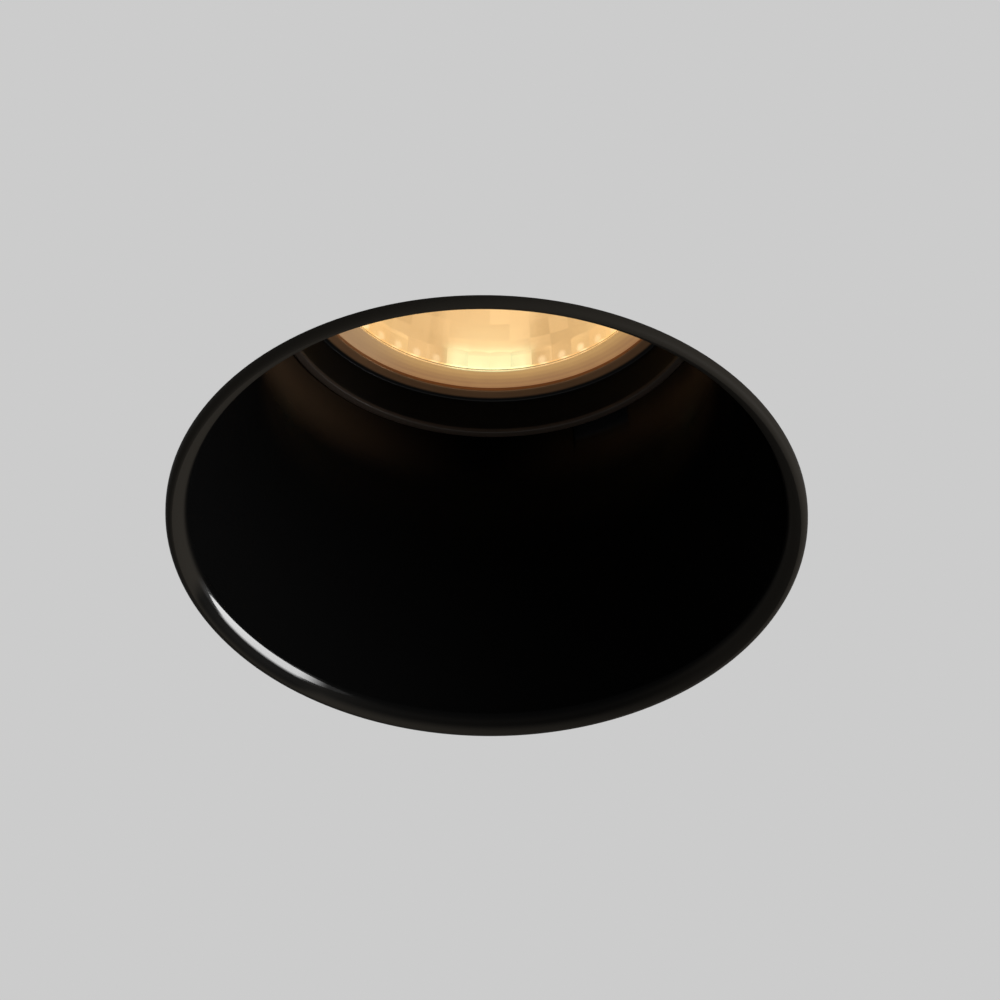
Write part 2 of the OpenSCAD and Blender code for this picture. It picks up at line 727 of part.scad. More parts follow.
// From the third way of the block, round to the side and down into the earth tag's barrel
function earth_lead() = let (y = block_face - lead_bend) concat(
    [[way_pitch, block_face + lead_in, insert_z], [way_pitch, block_face + lead_in - lead_d, insert_z]],
    arc_points([way_pitch + lead_bend, block_face, insert_z], lead_bend, [-1, 0, 0], [0, -1, 0], 0, 90, 6),
    arc_points([earth_x - lead_bend, y, insert_z - lead_bend], lead_bend, [0, 0, 1], [1, 0, 0], 0, 90, 6),
    [[earth_x, y, bridge_top + tag_t + 0.2]]
);

module lead_live() color([0.45, 0.25, 0.15]) tube(holder_lead(-way_pitch), lead_r, lead_sides, [1, 0, 0]);

module lead_neutral() color([0.2, 0.35, 0.7]) tube(holder_lead(0), lead_r, lead_sides, [1, 0, 0]);

module lead_earth() color([0.3, 0.6, 0.25]) tube(earth_lead(), lead_r, lead_sides, [0, 0, 1]);

// ---- Cable gland ----

module gland_washer() color(silicone) ring(gland_r + fit_gap, hex_r * 0.86, cap_top, gland_z);

module gland_body() color(black_plastic)
    difference() {
        union() {
            translate([0, 0, stub_z]) cylinder(r = gland_r, h = gland_z - stub_z);
            translate([0, 0, gland_z]) cylinder(r = hex_r, h = hex_h, $fn = 6);
            translate([0, 0, gland_z]) cylinder(r = gland_r - 0.4, h = hex_h + 6);
        }
        translate([0, 0, stub_z - past]) cylinder(r = gland_bore + 1, h = gland_z + hex_h - stub_z + 2 * past);
        translate([0, 0, gland_z + hex_h + 0.5]) cylinder(r = seal_r + fit_gap, h = 6);
    }

module gland_locknut() color(black_plastic)
    difference() {
        translate([0, 0, cap_top - cap_wall - locknut_h]) cylinder(r = gland_r + 3, h = locknut_h, $fn = 6);
        translate([0, 0, stub_z - past]) cylinder(r = gland_r + 0.05, h = gland_z - stub_z);
    }

module gland_seal() color(silicone)
    ring(gland_bore, seal_r, gland_z + hex_h + 0.5, gland_z + hex_h + 0.5 + seal_h);

module gland_nut() color(black_plastic)
    translate([0, 0, nut_z]) {
        rotate_extrude() polygon([
            [gland_r - 0.3, 0],
            [nut_r, 0],
            [nut_r, gland_nut_h - 5],
            [nut_r - 1, gland_nut_h - 2.5],
            [nut_r - 3, gland_nut_h - 0.6],
            [nut_r - 4, gland_nut_h],
            [gland_bore + 0.4, gland_nut_h],
            [gland_bore + 0.4, gland_nut_h - 2],
            [seal_r + fit_gap, 8],
            [gland_r - 0.3, 5.5]
        ]);
        for (i = [0 : nut_ribs - 1]) rotate([0, 0, i * 360 / nut_ribs])
            translate([nut_r - 0.4, -0.8, 0.8]) cube([1, 1.6, gland_nut_h - 6.5]);
    }

// ---- Spring clips ----

// The same thing at both rivets of a clip, turned so that +Z points out of the can
module at_rivets(x)
    for (s = [-1, 1]) translate([x, s * rivet_y, rivet_z]) rotate([0, 90, 0]) children();

module bracket() color(steel)
    difference() {
        union() {
            translate([bracket_x, -ear_y - bracket_t, bracket_z])
                cube([bracket_t, 2 * (ear_y + bracket_t), bracket_top - bracket_z]);
            translate([bracket_x, -arm_y - wire_r, bracket_z])
                cube([shelf_x - bracket_x, 2 * (arm_y + wire_r), bracket_t]);
            for (s = [-1, 1]) translate([0, s * (ear_y + bracket_t / 2), 0]) ear();
        }
        at_rivets(bracket_x - past) cylinder(r = rivet_hole_r, h = bracket_t + 2 * past);
    }

// One ear of the bracket, round about the pivot
module ear()
    difference() {
        union() {
            translate([pivot_x, 0, pivot_z]) rotate([90, 0, 0]) cylinder(r = ear_r, h = bracket_t, center = true);
            translate([bracket_x, -bracket_t / 2, bracket_z])
                cube([pivot_x - bracket_x + ear_r - 0.6, bracket_t, pivot_z - bracket_z]);
            translate([bracket_x, -bracket_t / 2, bracket_z])
                cube([pivot_x - bracket_x, bracket_t, pivot_z - bracket_z + ear_r]);
        }
        translate([pivot_x, 0, pivot_z]) rotate([90, 0, 0])
            cylinder(r = pivot_r + 0.02, h = bracket_t + 2 * past, center = true);
    }

module rivets() color(steel)
    at_rivets(bracket_x + bracket_t) {
        translate([0, 0, -bracket_t - rivet_depth + 0.1]) cylinder(r = rivet_r, h = bracket_t + rivet_depth);
        cylinder(r1 = 2, r2 = 1.4, h = 0.8);
    }

module pivot() color(steel)
    translate([pivot_x, 0, pivot_z]) rotate([90, 0, 0]) {
        cylinder(r = pivot_r, h = 2 * (ear_y + bracket_t), center = true);
        for (s = [-1, 1]) translate([0, 0, s * (ear_y + bracket_t + pin_end / 2)])
            cylinder(r = pivot_r + 0.7, h = pin_end, center = true);
    }

// Half of the wire about the pivot: tail, turns, arm and one corner of the tip
function half_wire() =
    let (
        steps = round(curl_rings * sweep_deg / 360),
        dir = [cos(arm_drop), 0, -sin(arm_drop)],
        foot = [coil_r * cos(leave_deg), arm_y, coil_r * sin(leave_deg)],
        centre = foot + (arm_len - bend_r) * dir - [0, bend_r, 0]
    )
    concat(
        [[-coil_r, coil_y0, -wire_d]],
        [for (i = [0 : steps]) let (a = 180 - sweep_deg * i / steps)
            [coil_r * cos(a), coil_y0 + coil_pitch * (180 - a) / 360, coil_r * sin(a)]],
        [foot + wire_d * dir],
        arc_points(centre, bend_r, [0, 1, 0], dir, 0, 90, 4)
    );

function whole_wire() =
    let (h = half_wire(), n = len(h))
    concat(h, [for (i = [n - 1 : -1 : 0]) [h[i][0], -h[i][1], h[i][2]]]);

module spring() color(steel)
    translate([pivot_x, 0, pivot_z]) tube(whole_wire(), wire_r, wire_sides, [-1, 0, 0]);

// Plastic sleeve on the straight tip of the wire
module sleeve() color(black_plastic)
    translate([
        pivot_x + coil_r * cos(leave_deg) + arm_len * cos(arm_drop),
        0,
        pivot_z + coil_r * sin(leave_deg) - arm_len * sin(arm_drop)
    ]) rotate([90, 0, 0]) difference() {
        cylinder(r = sleeve_d / 2, h = 2 * (arm_y - bend_r) - 0.6, center = true);
        cylinder(r = wire_r + 0.05, h = 2 * arm_y, center = true);
    }

module left() rotate([0, 0, 180]) children();

echo(least_gap_of_the_wire_to_itself = self_gap(whole_wire(), wire_d, 4));

trim_cone();
ceiling_gasket();
retaining_ring();
lamp_seal();
lamp_cover_glass();
lamp_reflector();
lamp_capsule();
lamp_base();
lamp_pins();
lamp_can();
can_gasket();
can_screws();
holder_plate();
holder_body();
holder_contacts();
holder_screws();
holder_bridge();
bridge_screws();
terminal_block();
terminal_inserts();
terminal_screws();
earth_tag();
earth_screw();
lead_live();
lead_neutral();
lead_earth();
rear_cap();
cap_gasket();
cap_screws();
gland_washer();
gland_body();
gland_locknut();
gland_seal();
gland_nut();
bracket();  // bracket_right
rivets();  // rivets_right
pivot();  // pivot_right
spring();  // spring_right
sleeve();  // sleeve_right
left() bracket();  // bracket_left
left() rivets();  // rivets_left
left() pivot();  // pivot_left
left() spring();  // spring_left
left() sleeve();  // sleeve_left
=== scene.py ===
"""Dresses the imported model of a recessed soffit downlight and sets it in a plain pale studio.

The ceiling's underside is the plane z = 0. The light leaves towards -Z, and the two spring clips lie on the
X axis. Sizes are written in millimetres and meshes are made in metres.
"""

import logging
import math
from dataclasses import dataclass, field
from enum import Enum

import bpy
from mathutils import Matrix, Vector


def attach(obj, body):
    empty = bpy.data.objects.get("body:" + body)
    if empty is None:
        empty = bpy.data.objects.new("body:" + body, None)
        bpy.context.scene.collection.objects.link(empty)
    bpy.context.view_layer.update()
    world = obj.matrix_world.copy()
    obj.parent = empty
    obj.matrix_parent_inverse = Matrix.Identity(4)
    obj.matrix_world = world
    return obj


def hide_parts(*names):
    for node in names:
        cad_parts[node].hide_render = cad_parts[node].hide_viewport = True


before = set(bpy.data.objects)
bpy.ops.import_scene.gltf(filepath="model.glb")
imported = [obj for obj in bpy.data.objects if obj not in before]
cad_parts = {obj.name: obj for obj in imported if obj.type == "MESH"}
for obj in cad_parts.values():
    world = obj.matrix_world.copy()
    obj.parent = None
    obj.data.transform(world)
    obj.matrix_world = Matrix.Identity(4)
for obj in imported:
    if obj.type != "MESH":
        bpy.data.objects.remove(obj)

Number = float | int
Pair = tuple[float, float]
Point = tuple[float, float, float]
Colour = tuple[float, float, float]
Profile = list[Pair]
Piece = bpy.types.Object
Material = bpy.types.Material

LOG = logging.getLogger("downlight")
MM = 0.001

# Sizes that a sub-assembly and its finish share.
MOUTH_R = 39.2
RING_FOOT_Z = 40.9
LIP_R = 25.05
LIP_Z = 45.3
SKIRT_R = 26.95
FACE_Z = 46.0
BOWL_R = 21.85
FACETS = 48
SHANK_R = 1.5
HEAD_R = 2.75


def linear(red: Number, green: Number, blue: Number) -> Colour:
    """Turns a colour as it looks on a screen into the linear numbers that shaders use.

    Args:
        red: Red from 0 to 255.
        green: Green from 0 to 255.
        blue: Blue from 0 to 255.

    Returns:
        The three linear numbers, from 0 to 1.
    """

    def one(value: Number) -> float:
        """Converts one channel."""
        share = value / 255
        return share / 12.92 if share <= 0.04045 else ((share + 0.055) / 1.055) ** 2.4

    return one(red), one(green), one(blue)


def shares(steps: int) -> list[float]:
    """Even steps from 0 to 1, both ends among them."""
    return [i / steps for i in range(steps + 1)]


def arc(centre: Pair, radius: Pair, start: float, end: float, steps: int) -> Profile:
    """Points of an elliptic arc in a half section.

    Args:
        centre: Radius and height of the arc's centre.
        radius: The two half axes, outwards and upwards.
        start: First angle in degrees, from the outward direction.
        end: Last angle in degrees.
        steps: Number of pieces that the arc is cut into.

    Returns:
        The points as (radius, height).
    """
    turns = [math.radians(start + (end - start) * i / steps) for i in range(steps + 1)]
    return [(centre[0] + radius[0] * math.cos(t), centre[1] + radius[1] * math.sin(t)) for t in turns]


def hoop(inner: float, outer: float, low: float, high: float) -> Profile:
    """Half section of a plain ring between two radii and two heights."""
    return [(inner, low), (outer, low), (outer, high), (inner, high)]


def shift(x: float, y: float, z: float) -> Matrix:
    """A move in millimetres."""
    return Matrix.Translation((x * MM, y * MM, z * MM))


def twist(degrees: float, axis: str = "Z") -> Matrix:
    """A turn about an axis in degrees."""
    return Matrix.Rotation(math.radians(degrees), 4, axis)


def both_sides(x: float, y: float, z: float) -> list[Matrix]:
    """Two moves that lie opposite each other about the light's axis."""
    return [shift(-x, -y, z), shift(x, y, z)]


class Slot(Enum):
    """The record's material slots."""

    CONE = "cone_black"
    RING = "ring_black"
    HOUSING = "housing_black"
    SEAL = "seal_black"
    COVER = "cover_glass"
    REFLECTOR = "reflector_glass"
    CAPSULE = "capsule"
    CERAMIC = "ceramic"
    NICKEL = "nickel"
    BRASS = "brass"
    SHEET = "sheet_steel"
    SPRING = "spring_steel"
    SCREW = "screw_steel"
    RIVET = "rivet"
    BLOCK = "block_plastic"
    GLAND = "gland_plastic"
    SLEEVE = "sleeve_plastic"
    BROWN = "lead_brown"
    BLUE = "lead_blue"
    GREEN = "lead_green"


class Body(Enum):
    """The bodies that the pieces ride on."""

    HOUSING = "housing"
    RETAINER = "retainer"
    LAMP = "lamp"
    CLIP_RIGHT = "clip_right"
    CLIP_LEFT = "clip_left"


# ---- Shader work ----


class Value:
    """A shader value that does arithmetic by adding Math nodes to its sheet."""

    def __init__(self, sheet: "Sheet", port: bpy.types.NodeSocket) -> None:
        """Wraps one output socket."""
        self.sheet = sheet
        self.port = port

    def _math(self, operation: str, *values: "Value | Number") -> "Value":
        """Adds one Math node on the given values."""
        return self.sheet.node("ShaderNodeMath", {"operation": operation}, dict(enumerate(values)))

    def __add__(self, other: "Value | Number") -> "Value":
        """Sum."""
        return self._math("ADD", self, other)

    __radd__ = __add__

    def __sub__(self, other: "Value | Number") -> "Value":
        """Difference."""
        return self._math("SUBTRACT", self, other)

    def __rsub__(self, other: Number) -> "Value":
        """Difference from a number."""
        return self._math("SUBTRACT", other, self)

    def __mul__(self, other: "Value | Number") -> "Value":
        """Product."""
        return self._math("MULTIPLY", self, other)

    __rmul__ = __mul__

    def __truediv__(self, other: "Value | Number") -> "Value":
        """Quotient."""
        return self._math("DIVIDE", self, other)

    def root(self) -> "Value":
        """Square root."""
        return self._math("SQRT", self)

    def size(self) -> "Value":
        """Size without its sign."""
        return self._math("ABSOLUTE", self)

    def wave(self) -> "Value":
        """Sine."""
        return self._math("SINE", self)

    def floor(self) -> "Value":
        """Whole part."""
        return self._math("FLOOR", self)

    def larger(self, other: "Value") -> "Value":
        """The larger of two values."""
        return self._math("MAXIMUM", self, other)

    def angle_over(self, x: "Value") -> "Value":
        """Angle in radians of the point (x, this value)."""
        return self._math("ARCTAN2", self, x)

    def band(self, low: float, high: float) -> "Value":
        """Rises smoothly from 0 at low to 1 at high."""
        inputs = {"Value": self, "From Min": low, "From Max": high, "To Min": 0.0, "To Max": 1.0}
        return self.sheet.node("ShaderNodeMapRange", {"interpolation_type": "SMOOTHSTEP"}, inputs)


class Sheet:
    """One material's node sheet, with a Principled shader already on it."""

    def __init__(self, name: str) -> None:
        """Starts an empty sheet."""
        self.material = bpy.data.materials.new(name)
        self.material.use_nodes = True
        self.tree = self.material.node_tree
        self.shader = next(n for n in self.tree.nodes if n.type == "BSDF_PRINCIPLED")
        self.place = self.node("ShaderNodeTexCoord", {}, {}, "Object")

    def plug(self, value: "Value | Number | tuple", port: bpy.types.NodeSocket) -> None:
        """Links a value to a socket, or sets the socket to a plain number, colour or vector."""
        if isinstance(value, Value):
            self.tree.links.new(value.port, port)
        else:
            port.default_value = value

    def node(self, kind: str, settings: dict, inputs: dict, output: str | int = 0) -> Value:
        """Adds a node.

        Args:
            kind: The node's type.
            settings: Properties that are set before the sockets.
            inputs: A number, colour or Value for each named or numbered socket.
            output: Which output is wanted.

        Returns:
            The wanted output.
        """
        made = self.tree.nodes.new(kind)
        for key, value in settings.items():
            setattr(made, key, value)
        for key, value in inputs.items():
            self.plug(value, made.inputs[key])
        return Value(self, made.outputs[output])

    def noise(self, size: float, detail: float = 3, stretch: Point = (1, 1, 1)) -> Value:
        """Cloudy pattern whose spots are about size millimetres across."""
        scale = tuple(1 / (size * MM * s) for s in stretch)
        spread = self.node("ShaderNodeMapping", {}, {"Vector": self.place, "Scale": scale})
        return self.node("ShaderNodeTexNoise", {}, {"Vector": spread, "Scale": 1.0, "Detail": detail})

    def along(self, axis: int) -> Value:
        """One coordinate in millimetres: 0 is X, 1 is Y and 2 is Z."""
        return self.node("ShaderNodeSeparateXYZ", {}, {0: self.place}, axis) * 1000.0

    def reach(self) -> Value:
        """Distance from the light's axis in millimetres."""
        x, y = self.along(0), self.along(1)
        return (x * x + y * y).root()

    def blend(self, share: Value, first: "Colour | Value", second: "Colour | Value") -> Value:
        """Colour between first and second."""
        low, high = (end if isinstance(end, Value) else (*end, 1) for end in (first, second))
        return self.node("ShaderNodeMix", {"data_type": "RGBA"}, {0: share, 6: low, 7: high}, 2)

    def chance(self, first: Value, second: Value) -> Value:
        """An even random number for each pair of whole numbers."""
        pair = self.node("ShaderNodeCombineXYZ", {}, {0: first, 1: second})
        return self.node("ShaderNodeTexWhiteNoise", {"noise_dimensions": "2D"}, {"Vector": pair})

    def relief(self, height: Value, depth: float) -> Value:
        """Bump of the given depth in millimetres."""
        return self.node("ShaderNodeBump", {}, {"Height": height, "Distance": depth * MM})

    def feed(self, **sockets: "Value | Number | Colour") -> Material:
        """Feeds the shader: names with spaces are written with underscores."""
        for key, value in sockets.items():
            value = (*value, 1) if isinstance(value, tuple) else value
            self.plug(value, self.shader.inputs[key.replace("_", " ")])
        return self.material

    def cover(self, share: Value, grey: float) -> Material:
        """Covers the shader with an even grey glow, as far as share says."""
        glow = self.node("ShaderNodeEmission", {}, {"Color": (grey, grey, grey, 1), "Strength": 1.0})
        under = Value(self, self.shader.outputs[0])
        out = next(n for n in self.tree.nodes if n.type == "OUTPUT_MATERIAL")
        self.plug(self.node("ShaderNodeMixShader", {}, {0: share, 1: under, 2: glow}), out.inputs["Surface"])
        return self.material


@dataclass(frozen=True)
class Finish:
    """What every finish has: a name, the record's slot for it, and a sheet that is drawn once."""

    name: str
    slot: Slot

    def draw(self, sheet: Sheet) -> Material:
        """Draws the finish on an empty sheet."""
        raise NotImplementedError

    def material(self) -> Material:
        """Returns the finish's material, and makes it at the first call."""
        return bpy.data.materials.get("finish_" + self.name) or self.draw(Sheet("finish_" + self.name))


@dataclass(frozen=True)
class Lacquer(Finish):
    """Black lacquer on castings, with a faint orange peel, uneven gloss and specks of dust."""

    colour: Colour
    faded: Colour
    rough: float
    peel: float
    peel_depth: float

    def draw(self, sheet: Sheet) -> Material:
        """Draws peel, cloudy gloss and specks of dust."""
        worn = sheet.noise(14, 4).band(0.35, 0.75)
        specks = sheet.noise(0.35, 1).band(0.68, 0.74)
        return sheet.feed(
            Base_Color=sheet.blend(worn * 0.6 + specks * 0.4, self.colour, self.faded),
            Roughness=worn * 0.1 + specks * 0.1 + (self.rough - 0.04),
            Normal=sheet.relief(sheet.noise(self.peel, 2), self.peel_depth),
        )


@dataclass(frozen=True)
class LipLacquer(Finish):
    """Black lacquer with the lamp's glow painted on the lip round the glass, and a painted highlight on the
    foot.
    """

    colour: Colour
    edge: Colour
    lamp_glow_colour: Colour
    rough: float
    skirt_w: Pair = (-0.85, -0.4)
    foot_highlight_h: Pair = (0.35, 0.6)

    def draw(self, sheet: Sheet) -> Material:
        """Draws the painted lamp glow, strongest next to the glass, and the painted highlight on the foot."""
        reach, height = sheet.reach(), sheet.along(2)
        near = 1 - (reach - LIP_R).band(-0.1, 0.5)
        on_lip = (1 - (reach - SKIRT_R).band(*self.skirt_w)) * (height - LIP_Z).band(-0.15, -0.05)
        # Painted lamp glow: the lip round the glass is browned, most next to the glass.
        lamp_glow = on_lip * (near * 0.3 + 0.55)
        # Painted highlight: the ring's rounded foot is paler, in the edge colour.
        foot = 1 - (height - RING_FOOT_Z).band(*self.foot_highlight_h)
        cloud = sheet.noise(7, 4).band(0.3, 0.8)
        dark = sheet.blend(foot, self.colour, self.edge)
        return sheet.feed(
            Base_Color=sheet.blend(lamp_glow * (0.85 + cloud * 0.15), dark, self.lamp_glow_colour),
            Metallic=lamp_glow * 0.7,
            Roughness=cloud * 0.08 + (self.rough - 0.04),
            Normal=sheet.relief(sheet.noise(0.7, 2), 0.008),
            Specular_IOR_Level=0.2,
        )


@dataclass(frozen=True)
class ConeLacquer(Finish):
    """Gloss black in the cone and satin black on the rim and the back.

    A stretch of the rim's inner corner is polished by touch. The lamp's glow on the throat's sides is painted
    into the colour, and so is shade on the rim's far side and along that stretch.
    """

    colour: Colour
    rim_colour: Colour
    throat_glow_colour: Colour
    back_colour: Colour
    gloss: float = 0.12
    satin: float = 0.4
    slope: float = 0.2255
    mouth_z: float = -0.2
    corner_h: Pair = (0.6, 0.8)
    corner_w: Pair = (0.4, 0.65)
    throat_glow_z: Pair = (32.5, 38.5)
    polished: tuple[Pair, Pair] = ((121, 129), (156, 163))

    def draw(self, sheet: Sheet) -> Material:
        """Goes from gloss to satin where the rim starts."""
        x, y, height, reach = sheet.along(0), sheet.along(1), sheet.along(2), sheet.reach()
        past_mouth = reach + (height - self.mouth_z) * self.slope - MOUTH_R
        satin = past_mouth.band(0.0, 0.5)
        corner = (1 - height.band(*self.corner_h)) * (1 - past_mouth.band(*self.corner_w))
        turn = y.angle_over(x) * math.degrees(1)
        polish = turn.band(*self.polished[0]) * (1 - turn.band(*self.polished[1]))
        # Painted shade: the rim's inner part darkens towards the far (+Y) side, and reaches wider along the
        # polished stretch.
        far = 1 - (1 - (y / reach).band(0.55, 0.95)) * (1 - polish)
        far = far * (1 - (past_mouth - polish * 0.4).band(0.7, 1.3))
        # Painted lamp glow: the throat's sides are browned towards the top, most where the wall faces
        # sideways.
        side = (x / reach).size().band(0.0, 1.0)
        inside = sheet.blend(height.band(*self.throat_glow_z) * side, self.colour, self.throat_glow_colour)
        front = sheet.blend(satin * (1 - far * 0.85), inside, self.rim_colour)
        on_back = height.band(0.0, 0.3) * past_mouth.band(0.5, 0.9)
        cloud = sheet.noise(9, 4).band(0.3, 0.8)
        back = sheet.blend(cloud * 0.2, self.back_colour, self.rim_colour)
        peel = sheet.noise(1.1, 2) * 0.6 + sheet.noise(0.22, 1) * 0.4 * satin
        return sheet.feed(
            Base_Color=sheet.blend(on_back, front, back),
            Roughness=satin * (self.satin - self.gloss) + cloud * 0.05 + self.gloss,
            Normal=sheet.relief(peel, 0.006),
            Specular_IOR_Level=0.008,
            Coat_Weight=corner * (polish * 0.96 + 0.02) + on_back * 0.08,
            Metallic=on_back * 0.75,
            Coat_Roughness=0.08,
        )


@dataclass(frozen=True)
class Metal(Finish):
    """Bare or plated metal with drawn lines, cloudy tarnish and small scratches."""

    colour: Colour
    dull: Colour
    rough: float
    grain: Point
    grain_size: float = 1.2
    depth: float = 0.004

    def draw(self, sheet: Sheet) -> Material:
        """Draws the lines, the tarnish and the scratches."""
        lines = sheet.noise(self.grain_size, 3, self.grain)
        tarnish = sheet.noise(6, 5).band(0.35, 0.8)
        scratch = sheet.noise(0.5, 1, (6, 0.4, 3)).band(0.66, 0.72)
        return sheet.feed(
            Base_Color=sheet.blend(tarnish * 0.5 + scratch * 0.3, self.colour, self.dull),
            Metallic=1.0,
            Roughness=lines * 0.12 + tarnish * 0.1 + (self.rough - 0.08),
            Normal=sheet.relief(lines + scratch * 0.5, self.depth),
        )


@dataclass(frozen=True)
class Moulded(Finish):
    """Moulded plastic, rubber or pressed ceramic: fine skin, mottled colour and soft sheen."""

    colour: Colour
    mottle: Colour
    rough: float
    skin: float = 0.3
    depth: float = 0.01
    spots: float = 0.0
    sheen: float = 0.0

    def draw(self, sheet: Sheet) -> Material:
        """Draws the skin, the mottling and, on ceramic, small dark spots."""
        cloud = sheet.noise(5, 4).band(0.3, 0.75)
        pits = sheet.noise(0.5, 1).band(0.7, 0.76) * self.spots
        return sheet.feed(
            Base_Color=sheet.blend(cloud * 0.7 + pits * 0.3, self.colour, self.mottle),
            Roughness=cloud * 0.12 + (self.rough - 0.06) + pits * 0.1,
            Normal=sheet.relief(sheet.noise(self.skin, 3) - pits, self.depth),
            Sheen_Weight=self.sheen,
        )


@dataclass(frozen=True)
class Glass(Finish):
    """Clear glass with faint pressing rings."""

    tint: Colour

    def draw(self, sheet: Sheet) -> Material:
        """Draws the pressing rings as a shallow relief."""
        rings = (sheet.reach() * 3.1).wave() * 0.5 + sheet.noise(3, 2)
        return sheet.feed(
            Base_Color=self.tint,
            Transmission_Weight=1.0,
            Roughness=0.02,
            IOR=1.46,
            Normal=sheet.relief(rings, 0.002),
        )


@dataclass(frozen=True)
class Reflector(Finish):
    """Mirror-coated glass bowl whose lit look is painted as glow, with painted reflections of the capsule,
    and its frosted outer edge.
    """

    edge: Colour
    edge_light: Colour
    edge_highlight: Colour
    facet: Colour
    facet_light: Colour
    painted_glint: Colour
    capsule_reflection: Colour
    mirror: Colour
    shell: Colour
    shell_glow: Colour
    row_h: float = 2.2
    first_row: float = 1.1
    reflection_core_x: Pair = (4.0, 6.5)
    reflection_core_up: Pair = (1.0, 1.9)
    highlight_x: Pair = (8.0, 19.0)

    def bowl(self, sheet: Sheet, height: Value, cloud: Value) -> Value:
        """The bowl's glow: a grid of facets with painted reflections, painted glints in the lowest row, and
        the capsule's painted reflection in the middle.

        Args:
            sheet: The finish's sheet.
            height: Height above the lamp's face in millimetres.
            cloud: A slow cloudy pattern.

        Returns:
            The glow's colour.
        """
        x = sheet.along(0)
        around = sheet.along(1).angle_over(x) * (FACETS / math.tau)
        up = (height - self.first_row) / self.row_h
        column, row = around.floor(), up.floor()
        # Painted reflections: each facet's glow gets its own random shade, in place of its reflection of the
        # capsule.
        shade = sheet.blend(sheet.chance(column, row) * 0.85 + cloud * 0.15, self.facet, self.facet_light)
        # Painted shade: towards the sides, the lowest rows take the edge's colour in place of their
        # reflections.
        side = (x.size() / sheet.reach()).band(0.5, 0.85) * (1 - up.band(1.0, 2.6))
        shade = sheet.blend(side * 0.75, shade, self.edge_light)
        # Painted glints: a bright spot low in each facet of the lowest row.
        across, above = around - column - 0.5, up - 0.25
        painted_glint = 1 - (across * across * 3 + above * above).root().band(0.12, 0.5)
        shade = sheet.blend(painted_glint * (sheet.chance(row, column) * 0.5 + 0.45), shade, self.painted_glint)
        # Painted reflection of the capsule: a hot patch in the lowest rows where x is small, on both the +Y
        # and -Y sides.
        reflection_core = (1 - x.size().band(*self.reflection_core_x)) * (1 - up.band(*self.reflection_core_up))
        return sheet.blend(reflection_core * (sheet.chance(column, row) * 0.35 + 0.65), shade, self.capsule_reflection)

    def draw(self, sheet: Sheet) -> Material:
        """Glows warmer on the edge, with a painted highlight on its -X side, and a little differently on each
        facet.
        """
        height = sheet.along(2) - FACE_Z
        past_bowl = sheet.reach() - BOWL_R
        on_face = (1 - (height - 0.05).band(0.0, 0.3)) * past_bowl.band(-0.1, 0.3)
        rings = (sheet.reach() * 9.0).wave() * 0.5 + 0.5
        cloud = sheet.noise(4, 3).band(0.3, 0.7)
        inner = 1 - past_bowl.band(0.0, 2.6)
        edge = sheet.blend(inner * 0.75 + rings * 0.12 + cloud * 0.13, self.edge, self.edge_light)
        # Painted highlight: the edge turns greyer towards the -X side.
        edge = sheet.blend((0 - sheet.along(0)).band(*self.highlight_x) * 0.8, edge, self.edge_highlight)
        outside = (past_bowl - 0.6).band(0.0, 0.5) * (height - 0.3).band(0.0, 0.4)
        shown = sheet.blend(on_face, self.bowl(sheet, height, cloud), edge)
        return sheet.feed(
            Base_Color=sheet.blend(outside, sheet.blend(on_face, self.mirror, self.edge), self.shell),
            Emission_Color=sheet.blend(outside, shown, self.shell_glow),
            Emission_Strength=1.0,
            Metallic=(1 - on_face) * 0.9,
            Roughness=on_face * 0.2 + 0.15,
        )


@dataclass(frozen=True)
class Glow(Finish):
    """The lit capsule."""

    glass: Colour
    bright: Colour
    dim: Colour
    strength: float
    filament_z: float = 52.6

    def draw(self, sheet: Sheet) -> Material:
        """Glows strongest round the filament, next to the tip."""
        above = (sheet.along(2) - self.filament_z).band(0.0, 2.0)
        return sheet.feed(
            Base_Color=self.glass,
            Emission_Color=sheet.blend(1 - above, self.dim, self.bright),
            Emission_Strength=self.strength,
            Roughness=0.15,
        )


